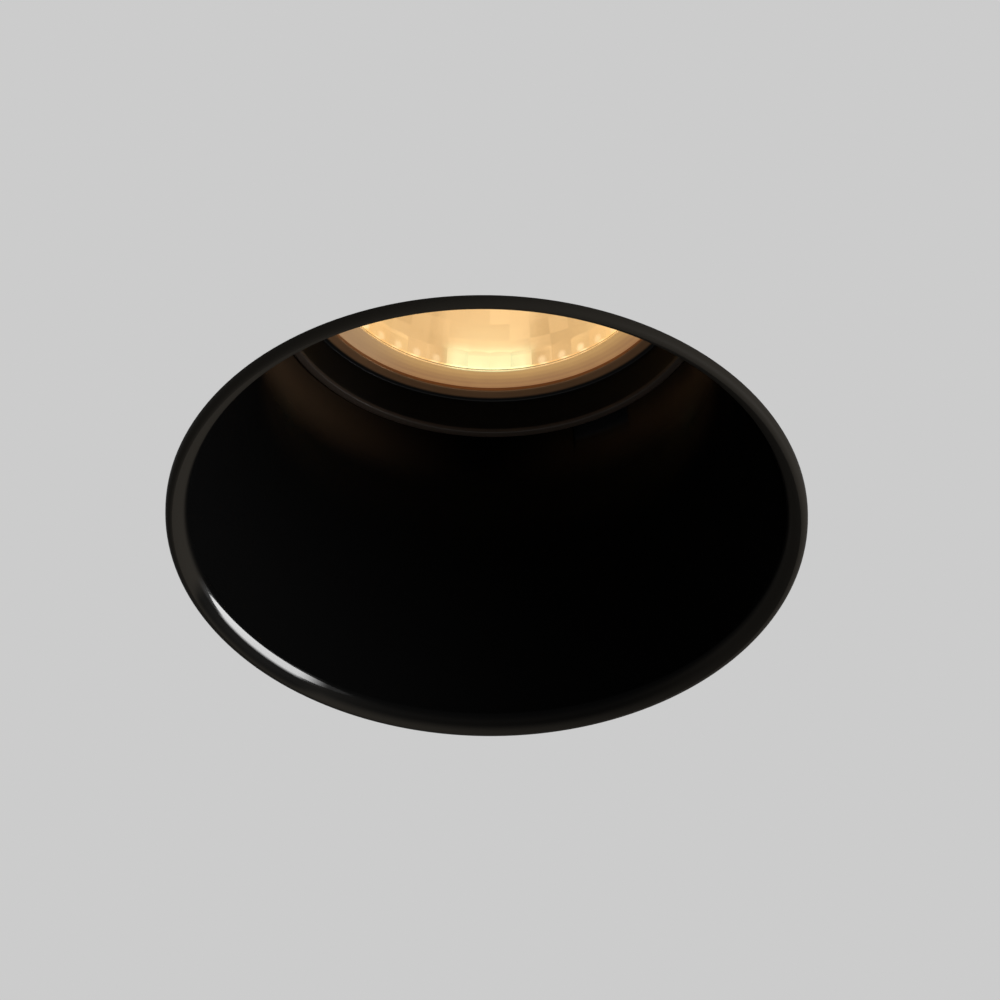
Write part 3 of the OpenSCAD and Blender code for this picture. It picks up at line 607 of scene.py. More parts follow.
class Palette:
    """The finishes of this object."""

    cone = ConeLacquer(
        "cone_gloss_black",
        Slot.CONE,
        colour=linear(4, 4, 4),
        rim_colour=linear(27, 25, 22),
        throat_glow_colour=linear(47, 36, 26),
        back_colour=linear(52, 52, 54),
    )
    # The ring's second colour is the painted highlight on its foot, and its third is the painted lamp glow on
    # its lip.
    ring = LipLacquer(
        "ring_black", Slot.RING, linear(3, 3, 3), linear(52, 44, 38), linear(190, 142, 100), 0.36
    )
    housing = Lacquer("housing_black", Slot.HOUSING, linear(27, 27, 29), linear(42, 42, 44), 0.46, 0.55, 0.05)
    seal = Moulded(
        "silicone_black", Slot.SEAL, linear(24, 24, 25), linear(44, 43, 42), 0.72, 0.25, 0.03, sheen=0.15
    )
    foam = Moulded("foam_black", Slot.SEAL, linear(20, 20, 21), linear(38, 37, 36), 0.9, 0.5, 0.12, sheen=0.2)
    cover = Glass("cover_glass", Slot.COVER, (1.0, 0.985, 0.95))
    reflector = Reflector(
        "mirrored_glass",
        Slot.REFLECTOR,
        edge=linear(141, 104, 71),
        edge_light=linear(189, 150, 93),
        edge_highlight=linear(150, 124, 94),
        facet=(0.38, 0.235, 0.1),
        facet_light=(0.54, 0.35, 0.16),
        painted_glint=(0.8, 0.62, 0.37),
        capsule_reflection=(0.55, 0.66, 0.38),
        mirror=(0.66, 0.6, 0.5),
        shell=linear(196, 188, 172),
        shell_glow=(0.02, 0.012, 0.005),
    )
    capsule = Glow("lit_capsule", Slot.CAPSULE, (0.9, 0.85, 0.75), (0.95, 0.9, 0.56), (0.27, 0.2, 0.12), 1.6)
    ceramic = Moulded(
        "ceramic_cream", Slot.CERAMIC, linear(226, 217, 196), linear(205, 192, 168), 0.55, 0.4, 0.03, 0.6
    )
    steatite = Moulded(
        "ceramic_white", Slot.CERAMIC, linear(232, 228, 216), linear(214, 206, 190), 0.5, 0.4, 0.03, 0.4
    )
    nickel = Metal("nickel", Slot.NICKEL, linear(196, 192, 184), linear(158, 150, 138), 0.26, (1, 1, 4))
    brass = Metal("brass", Slot.BRASS, linear(205, 170, 98), linear(150, 112, 58), 0.28, (3, 1, 1))
    sheet = Metal(
        "zinc_sheet", Slot.SHEET, linear(184, 186, 188), linear(138, 140, 143), 0.36, (0.6, 0.6, 6), 1.6
    )
    spring = Metal(
        "spring_wire", Slot.SPRING, linear(170, 168, 164), linear(112, 106, 100), 0.28, (1, 5, 1), 0.6, 0.006
    )
    screw = Metal(
        "plated_screw", Slot.SCREW, linear(190, 190, 188), linear(146, 144, 138), 0.28, (1, 1, 3), 0.8
    )
    rivet = Metal("rivet", Slot.RIVET, linear(198, 198, 200), linear(150, 150, 152), 0.32, (1, 1, 1), 0.7)
    block = Moulded(
        "block_plastic", Slot.BLOCK, linear(206, 200, 184), linear(190, 180, 160), 0.5, 0.35, 0.02
    )
    gland = Moulded("gland_nylon", Slot.GLAND, linear(26, 26, 27), linear(40, 40, 41), 0.5, 0.25, 0.025)
    sleeve = Moulded("sleeve_vinyl", Slot.SLEEVE, linear(22, 22, 23), linear(40, 39, 38), 0.42, 0.3, 0.015)
    brown = Moulded("lead_brown", Slot.BROWN, linear(110, 62, 38), linear(90, 48, 28), 0.45)
    blue = Moulded("lead_blue", Slot.BLUE, linear(44, 84, 158), linear(34, 66, 130), 0.45)
    green = Moulded("lead_green", Slot.GREEN, linear(88, 148, 58), linear(190, 178, 60), 0.45)


# ---- Modelling moves ----


class Bench:
    """Modelling moves that the sub-assemblies share."""

    @staticmethod
    def clear() -> None:
        """Leaves edit mode and deselects everything."""
        if bpy.context.object and bpy.context.object.mode != "OBJECT":
            bpy.ops.object.mode_set(mode="OBJECT")
        bpy.ops.object.select_all(action="DESELECT")

    @classmethod
    def pick(cls, *pieces: Piece) -> None:
        """Selects the pieces, and makes the last one active."""
        cls.clear()
        for piece in pieces:
            piece.select_set(True)
        bpy.context.view_layer.objects.active = pieces[-1]

    @staticmethod
    def edit() -> None:
        """Opens the active piece in edit mode, with everything on it selected."""
        bpy.ops.object.mode_set(mode="EDIT")
        bpy.ops.mesh.select_all(action="SELECT")

    @staticmethod
    def named(name: str) -> Piece:
        """Names the active piece and its mesh."""
        piece = bpy.context.object
        piece.name = piece.data.name = name
        return piece

    @classmethod
    def adopt(cls, name: str) -> Piece:
        """Names the primitive that was just added, and moves its place into its mesh."""
        bpy.ops.object.transform_apply(location=True, rotation=True, scale=True)
        return cls.named(name)

    @classmethod
    def turned(
        cls, name: str, profile: Profile, steps: int = 96, sweep: float = 360.0, start: float = 0.0
    ) -> Piece:
        """Turns a closed half section about the Z axis.

        Args:
            name: The piece's name.
            profile: Its points as (radius, height) in millimetres.
            steps: Number of steps round the axis.
            sweep: Angle that is turned, in degrees.
            start: Angle at which it starts.

        Returns:
            The turned piece, in object mode.
        """
        cls.clear()
        points = [Vector((r * MM, 0, z * MM)) for r, z in profile]
        bpy.ops.mesh.primitive_plane_add(size=MM, location=points[0])
        piece = cls.adopt(name)
        cls.edit()
        bpy.ops.mesh.merge(type="CENTER")
        for here, there in zip(points, points[1:] + points[:1]):
            bpy.ops.mesh.extrude_vertices_move(TRANSFORM_OT_translate={"value": there - here})
        bpy.ops.mesh.select_all(action="SELECT")
        bpy.ops.mesh.remove_doubles(threshold=1e-7)
        if sweep < 360:
            bpy.ops.mesh.edge_face_add()
        bpy.ops.mesh.spin(steps=steps, angle=math.radians(sweep), center=(0, 0, 0), axis=(0, 0, -1))
        bpy.ops.mesh.select_all(action="SELECT")
        bpy.ops.mesh.remove_doubles(threshold=1e-6)
        bpy.ops.mesh.normals_make_consistent(inside=False)
        bpy.ops.object.mode_set(mode="OBJECT")
        return cls.moved(piece, twist(start)) if start else piece

    @classmethod
    def moved(cls, piece: Piece, move: Matrix) -> Piece:
        """Moves a piece and puts the move into its mesh."""
        cls.pick(piece)
        piece.matrix_world = move
        bpy.ops.object.transform_apply(location=True, rotation=True, scale=True)
        return piece

    @classmethod
    def joined(cls, name: str, pieces: list[Piece]) -> Piece:
        """Joins pieces into one."""
        cls.pick(*pieces)
        if len(pieces) > 1:
            bpy.ops.object.join()
        return cls.named(name)

    @classmethod
    def copies(cls, piece: Piece, moves: list[Matrix]) -> Piece:
        """Places a copy of a piece, with its own mesh, at each move, and joins them.

        Args:
            piece: The piece that repeats. It is used up.
            moves: Where each copy goes.

        Returns:
            All the copies as one piece with the first one's name.
        """
        name = piece.name
        made = []
        for move in moves:
            cls.pick(piece)
            bpy.ops.object.duplicate(linked=False)
            made.append(cls.moved(bpy.context.object, move))
        bpy.data.objects.remove(piece)
        return cls.joined(name, made)

    @classmethod
    def cut(cls, piece: Piece, *tools: Piece) -> Piece:
        """Cuts the tools out of a piece and removes them."""
        for tool in tools:
            cls.pick(piece)
            step = piece.modifiers.new("cut", "BOOLEAN")
            step.operation = "DIFFERENCE"
            step.solver = "EXACT"
            step.object = tool
            bpy.ops.object.modifier_apply(modifier=step.name)
            bpy.data.objects.remove(tool)
        return piece

    @classmethod
    def soften(
        cls, piece: Piece, width: float, segments: int = 2, angle: float = 35, smooth: float = 50
    ) -> Piece:
        """Rounds the sharp edges and shades the piece smooth.

        Args:
            piece: The piece.
            width: Width of the rounding in millimetres.
            segments: Number of faces across it.
            angle: Edges sharper than this are rounded.
            smooth: Edges flatter than this are shaded smooth.

        Returns:
            The same piece.
        """
        cls.pick(piece)
        if width:
            step = piece.modifiers.new("edges", "BEVEL")
            step.width = width * MM
            step.segments = segments
            step.limit_method = "ANGLE"
            step.angle_limit = math.radians(angle)
            bpy.ops.object.modifier_apply(modifier=step.name)
        bpy.ops.object.shade_smooth_by_angle(angle=math.radians(smooth))
        return piece

    @classmethod
    def block(cls, name: str, size: Point, centre: Point) -> Piece:
        """A rectangular block, in millimetres."""
        cls.clear()
        bpy.ops.mesh.primitive_cube_add(size=1, location=[c * MM for c in centre])
        bpy.context.object.scale = [s * MM for s in size]
        return cls.adopt(name)

    @classmethod
    def rod(cls, name: str, radius: float, low: float, high: float, sides: int = 48) -> Piece:
        """An upright rod, in millimetres."""
        cls.clear()
        bpy.ops.mesh.primitive_cylinder_add(vertices=sides, radius=radius * MM, depth=(high - low) * MM)
        return cls.moved(cls.adopt(name), shift(0, 0, (low + high) / 2))

    @classmethod
    def merged_copy(cls, name: str, node: str) -> Piece:
        """A closed copy of a CAD node's mesh, with its flat faces whole."""
        piece = bpy.data.objects.new(name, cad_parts[node].data.copy())
        piece.data.name = name
        piece.data.materials.clear()
        bpy.context.scene.collection.objects.link(piece)
        cls.pick(piece)
        bpy.ops.mesh.customdata_custom_splitnormals_clear()
        cls.edit()
        bpy.ops.mesh.remove_doubles(threshold=1e-6)
        bpy.ops.mesh.dissolve_limited(angle_limit=math.radians(0.5))
        bpy.ops.object.mode_set(mode="OBJECT")
        return piece

    @classmethod
    def wire(cls, name: str, points: list[Vector], radius: float, sides: int = 3) -> Piece:
        """A round wire along a path.

        Args:
            name: The piece's name.
            points: The path's points in metres.
            radius: The wire's radius in millimetres.
            sides: Resolution of the round section.

        Returns:
            The wire as a mesh.
        """
        cls.clear()
        bpy.ops.curve.primitive_nurbs_path_add()
        curve = cls.named(name).data
        curve.splines.clear()
        spline = curve.splines.new("POLY")
        spline.points.add(len(points) - 1)
        for point, place in zip(spline.points, points):
            point.co = (*place, 1)
        curve.dimensions = "3D"
        curve.bevel_depth = radius * MM
        curve.bevel_resolution = sides
        curve.use_fill_caps = True
        curve.twist_mode = "MINIMUM"
        bpy.ops.object.convert(target="MESH")
        return cls.soften(cls.named(name), 0, smooth=60)


@dataclass
class Assembly(Bench):
    """A sub-assembly: it builds its pieces and puts each one on its body."""

    body: Body = Body.HOUSING

    def dress(
        self,
        piece: Piece,
        finish: Finish,
        *nodes: str,
        body: Body | None = None,
        slot: Slot | None = None,
    ) -> None:
        """Finishes a new piece.

        Args:
            piece: The piece, at rest and in place.
            finish: Its finish.
            *nodes: The CAD nodes that it stands for.
            body: The body that it rides on, where it isn't the sub-assembly's own.
            slot: Not used.
        """
        piece.data.materials.clear()
        piece.data.materials.append(finish.material())
        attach(piece, (body or self.body).value)
        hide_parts(*nodes)
        faces = len(piece.data.polygons)
        LOG.info("%s: %d faces, stands for %s", piece.name, faces, ", ".join(nodes) or "nothing")

    def cast(self, name: str, node: str, finish: Finish, *edges: float, body: Body | None = None) -> None:
        """Dresses a copy of a CAD solid with softened edges.

        Args:
            name: The new piece's name.
            node: The CAD node that it copies and stands for.
            finish: Its finish.
            *edges: What soften takes after the piece.
            body: The body that it rides on, where it isn't the sub-assembly's own.
        """
        self.dress(self.soften(self.merged_copy(name, node), *edges), finish, node, body=body)

    def paint(self, node: str, finish: Finish) -> None:
        """Gives a CAD node its finish."""
        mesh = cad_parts[node].data
        mesh.materials.clear()
        mesh.materials.append(finish.material())
        LOG.info("%s: CAD shape with its own finish", node)

    def build(self) -> None:
        """Builds and dresses the whole sub-assembly."""
        raise NotImplementedError

    @staticmethod
    def shank(length: float) -> Profile:
        """Half section of an M3 screw below its head, out to the head's edge."""
        return [(0, -length), (SHANK_R - 0.2, -length), (SHANK_R, -length + 0.3), (SHANK_R, 0), (HEAD_R, 0)]

    @classmethod
    def pan_screw(cls, name: str, head_h: float, length: float) -> Piece:
        """A domed screw with a cross recess, pointing down from z = 0."""
        dome = arc((0, head_h * 0.25), (HEAD_R, head_h * 0.75), 0, 90, 8)
        piece = cls.turned(name, cls.shank(length) + dome, 40)
        wide, narrow, deep = HEAD_R * 1.1, HEAD_R * 0.2, head_h * 1.1
        sizes = ((wide, narrow, deep), (narrow, wide, deep))
        arms = [cls.block("arm", size, (0, 0, head_h)) for size in sizes]
        return cls.soften(cls.cut(piece, *arms), 0.06, 2, 40)

    @classmethod
    def socket_screw(cls, name: str, head_h: float, length: float) -> Piece:
        """A cylinder head screw with a hexagon socket, pointing down from z = 0."""
        piece = cls.turned(name, cls.shank(length) + [(HEAD_R, head_h), (0, head_h)], 40)
        socket = cls.rod("socket", HEAD_R * 0.55, head_h * 0.45, head_h * 2, 6)
        return cls.soften(cls.cut(piece, socket), 0.14, 2, 40)


# ---- Sub-assemblies ----


@dataclass
class Trim(Assembly):
    """Rim, cone, collar and the foam seal under the rim."""

    rim_r: float = 42.0
    rim_w: float = 2.8
    drop: float = 1.8
    rise: float = 1.6
    side: float = 0.45
    top: float = -0.3
    lip: float = 0.5
    seal_t: float = 0.7
    seal_in: float = 40.55
    seal_gap: float = 0.05
    neck_r: float = 40.0
    neck_h: float = 7.0
    cone_h: float = 41.5
    throat_r: float = 29.8
    wall: float = 1.3
    seam_z: float = 35.0
    round_r: float = 0.75

    def section(self) -> Profile:
        """Half section from the rim up to the seam."""
        mouth_r = self.rim_r - self.rim_w
        slope = (mouth_r - self.throat_r) / (self.cone_h + self.drop - self.rise)
        edge = Vector((mouth_r, self.rise - self.drop))
        low = Vector((self.rim_r - self.rim_w * 0.38, 0.06 - self.drop))
        away = (low - edge).normalized()
        above = edge + Vector((-slope, 1)) * self.round_r
        below = edge + away * self.round_r
        inner = [above * (1 - t) ** 2 + edge * (2 * t * (1 - t)) + below * t**2 for t in shares(8)]
        inner += [low - away * self.round_r, low - away * (self.round_r * 0.3) - Vector((0, 0.02))]
        corner = (2 * self.side, self.drop + self.top - self.side)
        outer = arc((self.rim_r - 2 * self.side, self.top - self.side), corner, 270, 360, 12)
        seam_in = self.throat_r + slope * (self.cone_h - self.seam_z)
        foot = self.throat_r + self.wall + slope * (self.cone_h - self.neck_h - 1)
        back = [
            (self.rim_r, self.top),
            (self.rim_r - self.lip, self.top),
            (self.rim_r - self.lip, -self.seal_t),
            (self.seal_in, -self.seal_t),
            (self.seal_in, 0),
            (self.neck_r, 0),
            (self.neck_r, self.neck_h),
            (foot, self.neck_h + 1),
            (seam_in + self.wall, self.seam_z),
            (seam_in, self.seam_z),
        ]
        return inner + outer + back

    def build(self) -> None:
        """Turns the visible trim and keeps the collar's slots from the CAD solid."""
        front = self.soften(self.turned("trim_front", self.section(), 180), 0.0, smooth=32)
        self.dress(front, Palette.cone, "trim_cone")
        collar = self.merged_copy("trim_collar", "trim_cone")
        self.edit()
        seam = (0, 0, self.seam_z * MM)
        bpy.ops.mesh.bisect(plane_co=seam, plane_no=(0, 0, 1), use_fill=True, clear_inner=True)
        bpy.ops.object.mode_set(mode="OBJECT")
        self.dress(self.soften(collar, 0.0, smooth=32), Palette.cone)
        section = hoop(self.seal_in + self.seal_gap, self.rim_r - self.lip - self.seal_gap, -self.seal_t, 0)
        seal = self.turned("foam_seal", section, 144)
        self.dress(self.soften(seal, 0.15), Palette.foam, "ceiling_gasket")


@dataclass
class LampRing(Assembly):
    """The twist ring that holds the lamp by its edge."""

    body: Body = Body.RETAINER
    outer_r: float = 29.55
    wall: float = 1.15
    edge_w: float = 1.2
    chamfer: float = 0.3
    top: float = 47.3
    lip_low: float = 45.4
    lip_top: float = 46.0
    lug_r: float = 30.55
    lug_z: float = 45.4
    lug_h: float = 1.8
    lug_sweep: float = 14.0
    lug_middle: float = 85.0
    seal: tuple[float, float, float, float] = (25.65, 28.2, 46.2, 49.6)

    def build(self) -> None:
        """Turns the skirt and lip, adds three bayonet lugs, and lays the lamp's seal."""
        inner = self.outer_r - self.wall
        section = [
            (self.outer_r - self.edge_w, RING_FOOT_Z),
            (self.outer_r - self.chamfer, RING_FOOT_Z),
            (self.outer_r, RING_FOOT_Z + self.chamfer),
            (self.outer_r, self.top),
            (inner, self.top),
            (inner, self.lip_top),
            (LIP_R, self.lip_top),
            (LIP_R, self.lip_low),
            (SKIRT_R, LIP_Z),
        ]
        skirt = self.soften(self.turned("lamp_ring", section, 180), 0.12, 3, 25, 40)
        lug = hoop(self.outer_r - self.chamfer, self.lug_r, self.lug_z, self.lug_z + self.lug_h)
        starts = [turn + self.lug_middle - self.lug_sweep / 2 for turn in (0, 120, 240)]
        lugs = [self.soften(self.turned("lug", lug, 10, self.lug_sweep, start), 0.15, 2) for start in starts]
        self.dress(self.joined("lamp_ring", lugs + [skirt]), Palette.ring, "retaining_ring")
        seal = self.soften(self.turned("lamp_edge_seal", hoop(*self.seal), 120), 0.3, 3)
        self.dress(seal, Palette.seal, "lamp_seal", body=Body.HOUSING)


@dataclass
class Lamp(Assembly):
    """Reflector lamp with a faceted bowl, cover glass, lit capsule, ceramic base and two pins."""

    body: Body = Body.LAMP
    lamp_r: float = 25.35
    edge_cut: float = 0.4
    edge_h: float = 3.0
    cover_in: float = 0.1
    cover_t: float = 1.0
    bowl_top: float = 71.0
    bowl_top_r: float = 8.0
    bowl_wall: float = 0.8
    bore: float = 5.0
    shell_top: float = 79.3
    base_r: float = 11.5
    pin_seat: float = 92.8
    capsule_z: float = 55.9
    capsule_r: float = 4.4
    rows: int = 8
    pin_len: float = 7.2
    pin_x: float = 5.0

    def shell(self) -> Piece:
        """Turns the glass body, open at the mouth."""
        neck, cut = self.base_r + 0.6, self.edge_cut
        waist = FACE_Z + self.edge_h
        rise = self.shell_top - waist
        flare = self.lamp_r - neck
        outer = [(neck + flare * math.sqrt(1 - f * f), waist + rise * f) for f in shares(20)[:-1]]
        seat = FACE_Z + self.cover_in + self.cover_t
        profile = [
            (BOWL_R + 0.3, FACE_Z),
            *arc((self.lamp_r - cut, FACE_Z + cut), (cut, cut), -90, 0, 8),
            *outer,
            (neck, self.shell_top),
            (self.bore, self.shell_top),
            (self.bore, self.bowl_top + self.bowl_wall),
            (self.bowl_top_r + self.bowl_wall, self.bowl_top + self.bowl_wall),
            (BOWL_R + 0.6, seat + 0.2),
            (BOWL_R + 0.3, seat),
        ]
        return self.soften(self.turned("lamp_shell", profile, 144), 0.12, 2, 35, 50)

    def bowl(self) -> Piece:
        """Extrudes the mirror's rows of facets from a circle."""
        seat = FACE_Z + self.cover_in + self.cover_t
        self.clear()
        bpy.ops.mesh.primitive_circle_add(
            vertices=FACETS, radius=BOWL_R * MM, fill_type="NOTHING", location=(0, 0, seat * MM)
        )
        piece = self.adopt("lamp_mirror")
        self.edit()
        last_r, last_z = BOWL_R, seat
        for row in range(1, self.rows + 1):
            share = row / self.rows
            radius = self.bowl_top_r + (BOWL_R - self.bowl_top_r) * math.sqrt(1 - share)
            height = seat + (self.bowl_top - seat) * share
            bpy.ops.mesh.extrude_region_move(TRANSFORM_OT_translate={"value": (0, 0, (height - last_z) * MM)})
            scale = radius / last_r
            bpy.ops.transform.resize(value=(scale, scale, 1), center_override=(0, 0, height * MM))
            last_r, last_z = radius, height
        bpy.ops.mesh.select_all(action="SELECT")
        bpy.ops.mesh.normals_make_consistent(inside=True)
        bpy.ops.object.mode_set(mode="OBJECT")
        return piece

    def build(self) -> None:
        """Builds the five pieces of the lamp."""
        mirror = self.joined("lamp_mirror_bowl", [self.shell(), self.bowl()])
        self.dress(mirror, Palette.reflector, "lamp_reflector")
        low = FACE_Z + self.cover_in
        cover = self.turned("lamp_cover", hoop(0, BOWL_R + 0.2, low, low + self.cover_t - 0.05), 120)
        self.dress(self.soften(cover, 0.15, 3), Palette.cover, "lamp_cover_glass")
        r = self.capsule_r
        dome = arc((0, self.capsule_z), (r, r), -90, 0, 12)
        section = dome + [(r, self.shell_top - 2), (r - 0.8, self.shell_top), (0, self.shell_top)]
        capsule = self.soften(self.turned("lamp_capsule_lit", section, 48), 0.0)
        self.dress(capsule, Palette.capsule, "lamp_capsule")
        top_r = self.base_r - 1.2
        section = [
            (0, self.shell_top),
            (self.base_r, self.shell_top),
            (self.base_r, self.shell_top + 3),
            (top_r, self.shell_top + 5),
            (top_r, self.pin_seat),
            (0, self.pin_seat),
        ]
        base = self.turned("lamp_foot", section, 96)
        self.dress(self.soften(base, 0.35, 3, 25), Palette.ceramic, "lamp_base")
        stem, head, head_z = 1.2, 2.4, self.pin_len - 2.0
        section = [(0, 0), (stem, 0), (stem, head_z), (head, head_z), (head, self.pin_len), (0, self.pin_len)]
        pin = self.soften(self.turned("lamp_pin_pair", section, 48), 0.2, 3)
        self.dress(self.copies(pin, both_sides(self.pin_x, 0, self.pin_seat)), Palette.nickel, "lamp_pins")


@dataclass
class Housing(Assembly):
    """Lamp can, rear cap, their gaskets and screws."""

    can_z: float = 49.6
    cap_top: float = 130.0
    screw_ring: float = 34.7
    boss_ring: float = 26.4
    seal: Pair = (30.2, 32.2)

    def build(self) -> None:
        """Rounds the castings' edges and adds gaskets and screws."""
        self.cast("can_casting", "lamp_can", Palette.housing, 0.3, 2, 40, 35)
        self.cast("rear_cap_casting", "rear_cap", Palette.housing, 0.5, 3, 35, 35)
        seal = self.turned("can_seal", hoop(*self.seal, self.can_z - 0.6, self.can_z), 120)
        self.dress(self.soften(seal, 0.15), Palette.seal, "can_gasket")
        self.cast("cap_seal", "cap_gasket", Palette.seal, 0.12, 2, 40, 35)
        turns = [twist(45 + 90 * i) for i in range(4)]
        places = [turn @ shift(self.screw_ring, 0, self.can_z + 3) for turn in turns]
        screw = self.socket_screw("can_socket_screws", 2.6, 8.5)
        self.dress(self.copies(screw, places), Palette.screw, "can_screws")
        places = both_sides(0, self.boss_ring, self.cap_top)
        screws = self.copies(self.pan_screw("cap_pan_screws", 2.2, 31.6), places)
        self.dress(screws, Palette.screw, "cap_screws")


@dataclass
class LampHolder(Assembly):
    """Ceramic lampholder, bridge, terminal block, earth tag and inner leads."""

    bridge_z: float = 106.4
    bridge_top: float = 107.6
    insert_z: float = 111.8
    lead_y: float = -10.1
    block_face: float = -5.5
    bend: float = 2.2
    way: float = 7.5
    earth_x: float = 19.5
    screw_x: float = 26.0
    lead_r: float = 1.0

    def bent(self, centre: Vector, u: Vector, v: Vector) -> list[Vector]:
        """A quarter bend of a lead, in metres."""
        turns = [math.pi / 2 * share for share in shares(10)]
        return [(centre + self.bend * (u * math.cos(t) + v * math.sin(t))) * MM for t in turns]

    def short_lead(self, x: float) -> list[Vector]:
        """The path from the lampholder up and into one way of the block."""
        centre = Vector((x, self.lead_y + self.bend, self.insert_z - self.bend))
        start = [Vector((x, self.lead_y, z)) * MM for z in (self.bridge_z, self.bridge_z + 2)]
        end = Vector((x, self.block_face + 3, self.insert_z)) * MM
        return start + self.bent(centre, Vector((0, -1, 0)), Vector((0, 0, 1))) + [end]

    def long_lead(self) -> list[Vector]:
        """The path from the block's last way round to the earth screw."""
        y, z = self.block_face - self.bend, self.insert_z
        first = Vector((self.way + self.bend, self.block_face, z))
        last = Vector((self.earth_x - self.bend, y, z - self.bend))
        path = [Vector((self.way, self.block_face + 3, z)) * MM]
        path += self.bent(first, Vector((-1, 0, 0)), Vector((0, -1, 0)))
        path += self.bent(last, Vector((0, 0, 1)), Vector((1, 0, 0)))
        return path + [Vector((self.earth_x, y, self.bridge_top + 1.0)) * MM]

    def build(self) -> None:
        """Softens the ceramic and the sheet parts, and lays the three leads."""
        for name, node, finish, width in (
            ("holder_lower", "holder_plate", Palette.steatite, 0.25),
            ("holder_upper", "holder_body", Palette.steatite, 0.3),
            ("bridge_strip", "holder_bridge", Palette.sheet, 0.15),
            ("terminal_strip", "terminal_block", Palette.block, 0.25),
        ):
            self.cast(name, node, finish, width, 2, 40, 35)
        for node, finish in (
            ("holder_contacts", Palette.brass),
            ("terminal_inserts", Palette.brass),
            ("terminal_screws", Palette.screw),
            ("earth_tag", Palette.brass),
            ("holder_screws", Palette.screw),
        ):
            self.paint(node, finish)
        places = both_sides(self.screw_x, 0, self.bridge_top)
        screws = self.copies(self.pan_screw("bridge_pan_screws", 2.0, 7.2), places)
        self.dress(screws, Palette.screw, "bridge_screws")
        place = shift(self.earth_x, 0, self.bridge_top + 0.8)
        earth = self.moved(self.pan_screw("earth_pan_screw", 2.0, 4.0), place)
        self.dress(earth, Palette.brass, "earth_screw", slot=Slot.SCREW)
        for name, path, finish, node in (
            ("live_lead", self.short_lead(-self.way), Palette.brown, "lead_live"),
            ("neutral_lead", self.short_lead(0.0), Palette.blue, "lead_neutral"),
            ("earth_lead", self.long_lead(), Palette.green, "lead_earth"),
        ):
            self.dress(self.wire(name, path, self.lead_r), finish, node)


@dataclass
class Gland(Assembly):
    """Cable gland on the rear cap."""

    thread_r: float = 7.7
    mouth_r: float = 4.4
    washer: Pair = (8.1, 9.46)
    seal: Pair = (4.0, 6.1)
    seal_h: float = 8.0
    top_z: float = 130.0
    body_z: float = 131.5
    hex_h: float = 6.0
    nut_z: float = 138.3
    nut_r: float = 10.0
    nut_h: float = 13.0
    ribs: int = 12

    def nut(self) -> Piece:
        """Turns the domed nut and adds its grip ribs."""
        r, z, h = self.nut_r, self.nut_z, self.nut_h
        dome = arc((r - 4.0, z + h - 5.0), (4.0, 5.0), 0, 90, 10)
        bore = [(self.mouth_r, z + h), (self.mouth_r, z + h - 2), (6.2, z + 8), (self.thread_r, z + 5.5)]
        profile = [(self.thread_r, z), (r, z), *dome, *bore]
        shell = self.soften(self.turned("gland_dome_nut", profile, 96), 0.25, 2, 40)
        rib = self.block("rib", (1.0, 1.6, h - 6.5), (r + 0.1, 0, z + 0.8 + (h - 6.5) / 2))
        self.soften(rib, 0.35, 3)
        ribs = self.copies(rib, [twist(360 * i / self.ribs) for i in range(self.ribs)])
        return self.joined("gland_dome_nut", [ribs, shell])

    def build(self) -> None:
        """Builds the five pieces of the gland."""
        washer = self.turned("gland_flat_seal", hoop(*self.washer, self.top_z, self.body_z), 72)
        self.dress(self.soften(washer, 0.3, 3), Palette.seal, "gland_washer")
        self.cast("gland_hex_body", "gland_body", Palette.gland, 0.25, 2, 30, 28)
        self.cast("gland_inner_nut", "gland_locknut", Palette.gland, 0.3, 2, 30, 28)
        low = self.body_z + self.hex_h + 0.5
        seal = self.turned("gland_cable_seal", hoop(*self.seal, low, low + self.seal_h), 72)
        self.dress(self.soften(seal, 0.2, 3), Palette.seal, "gland_seal")
        self.dress(self.nut(), Palette.gland, "gland_nut")


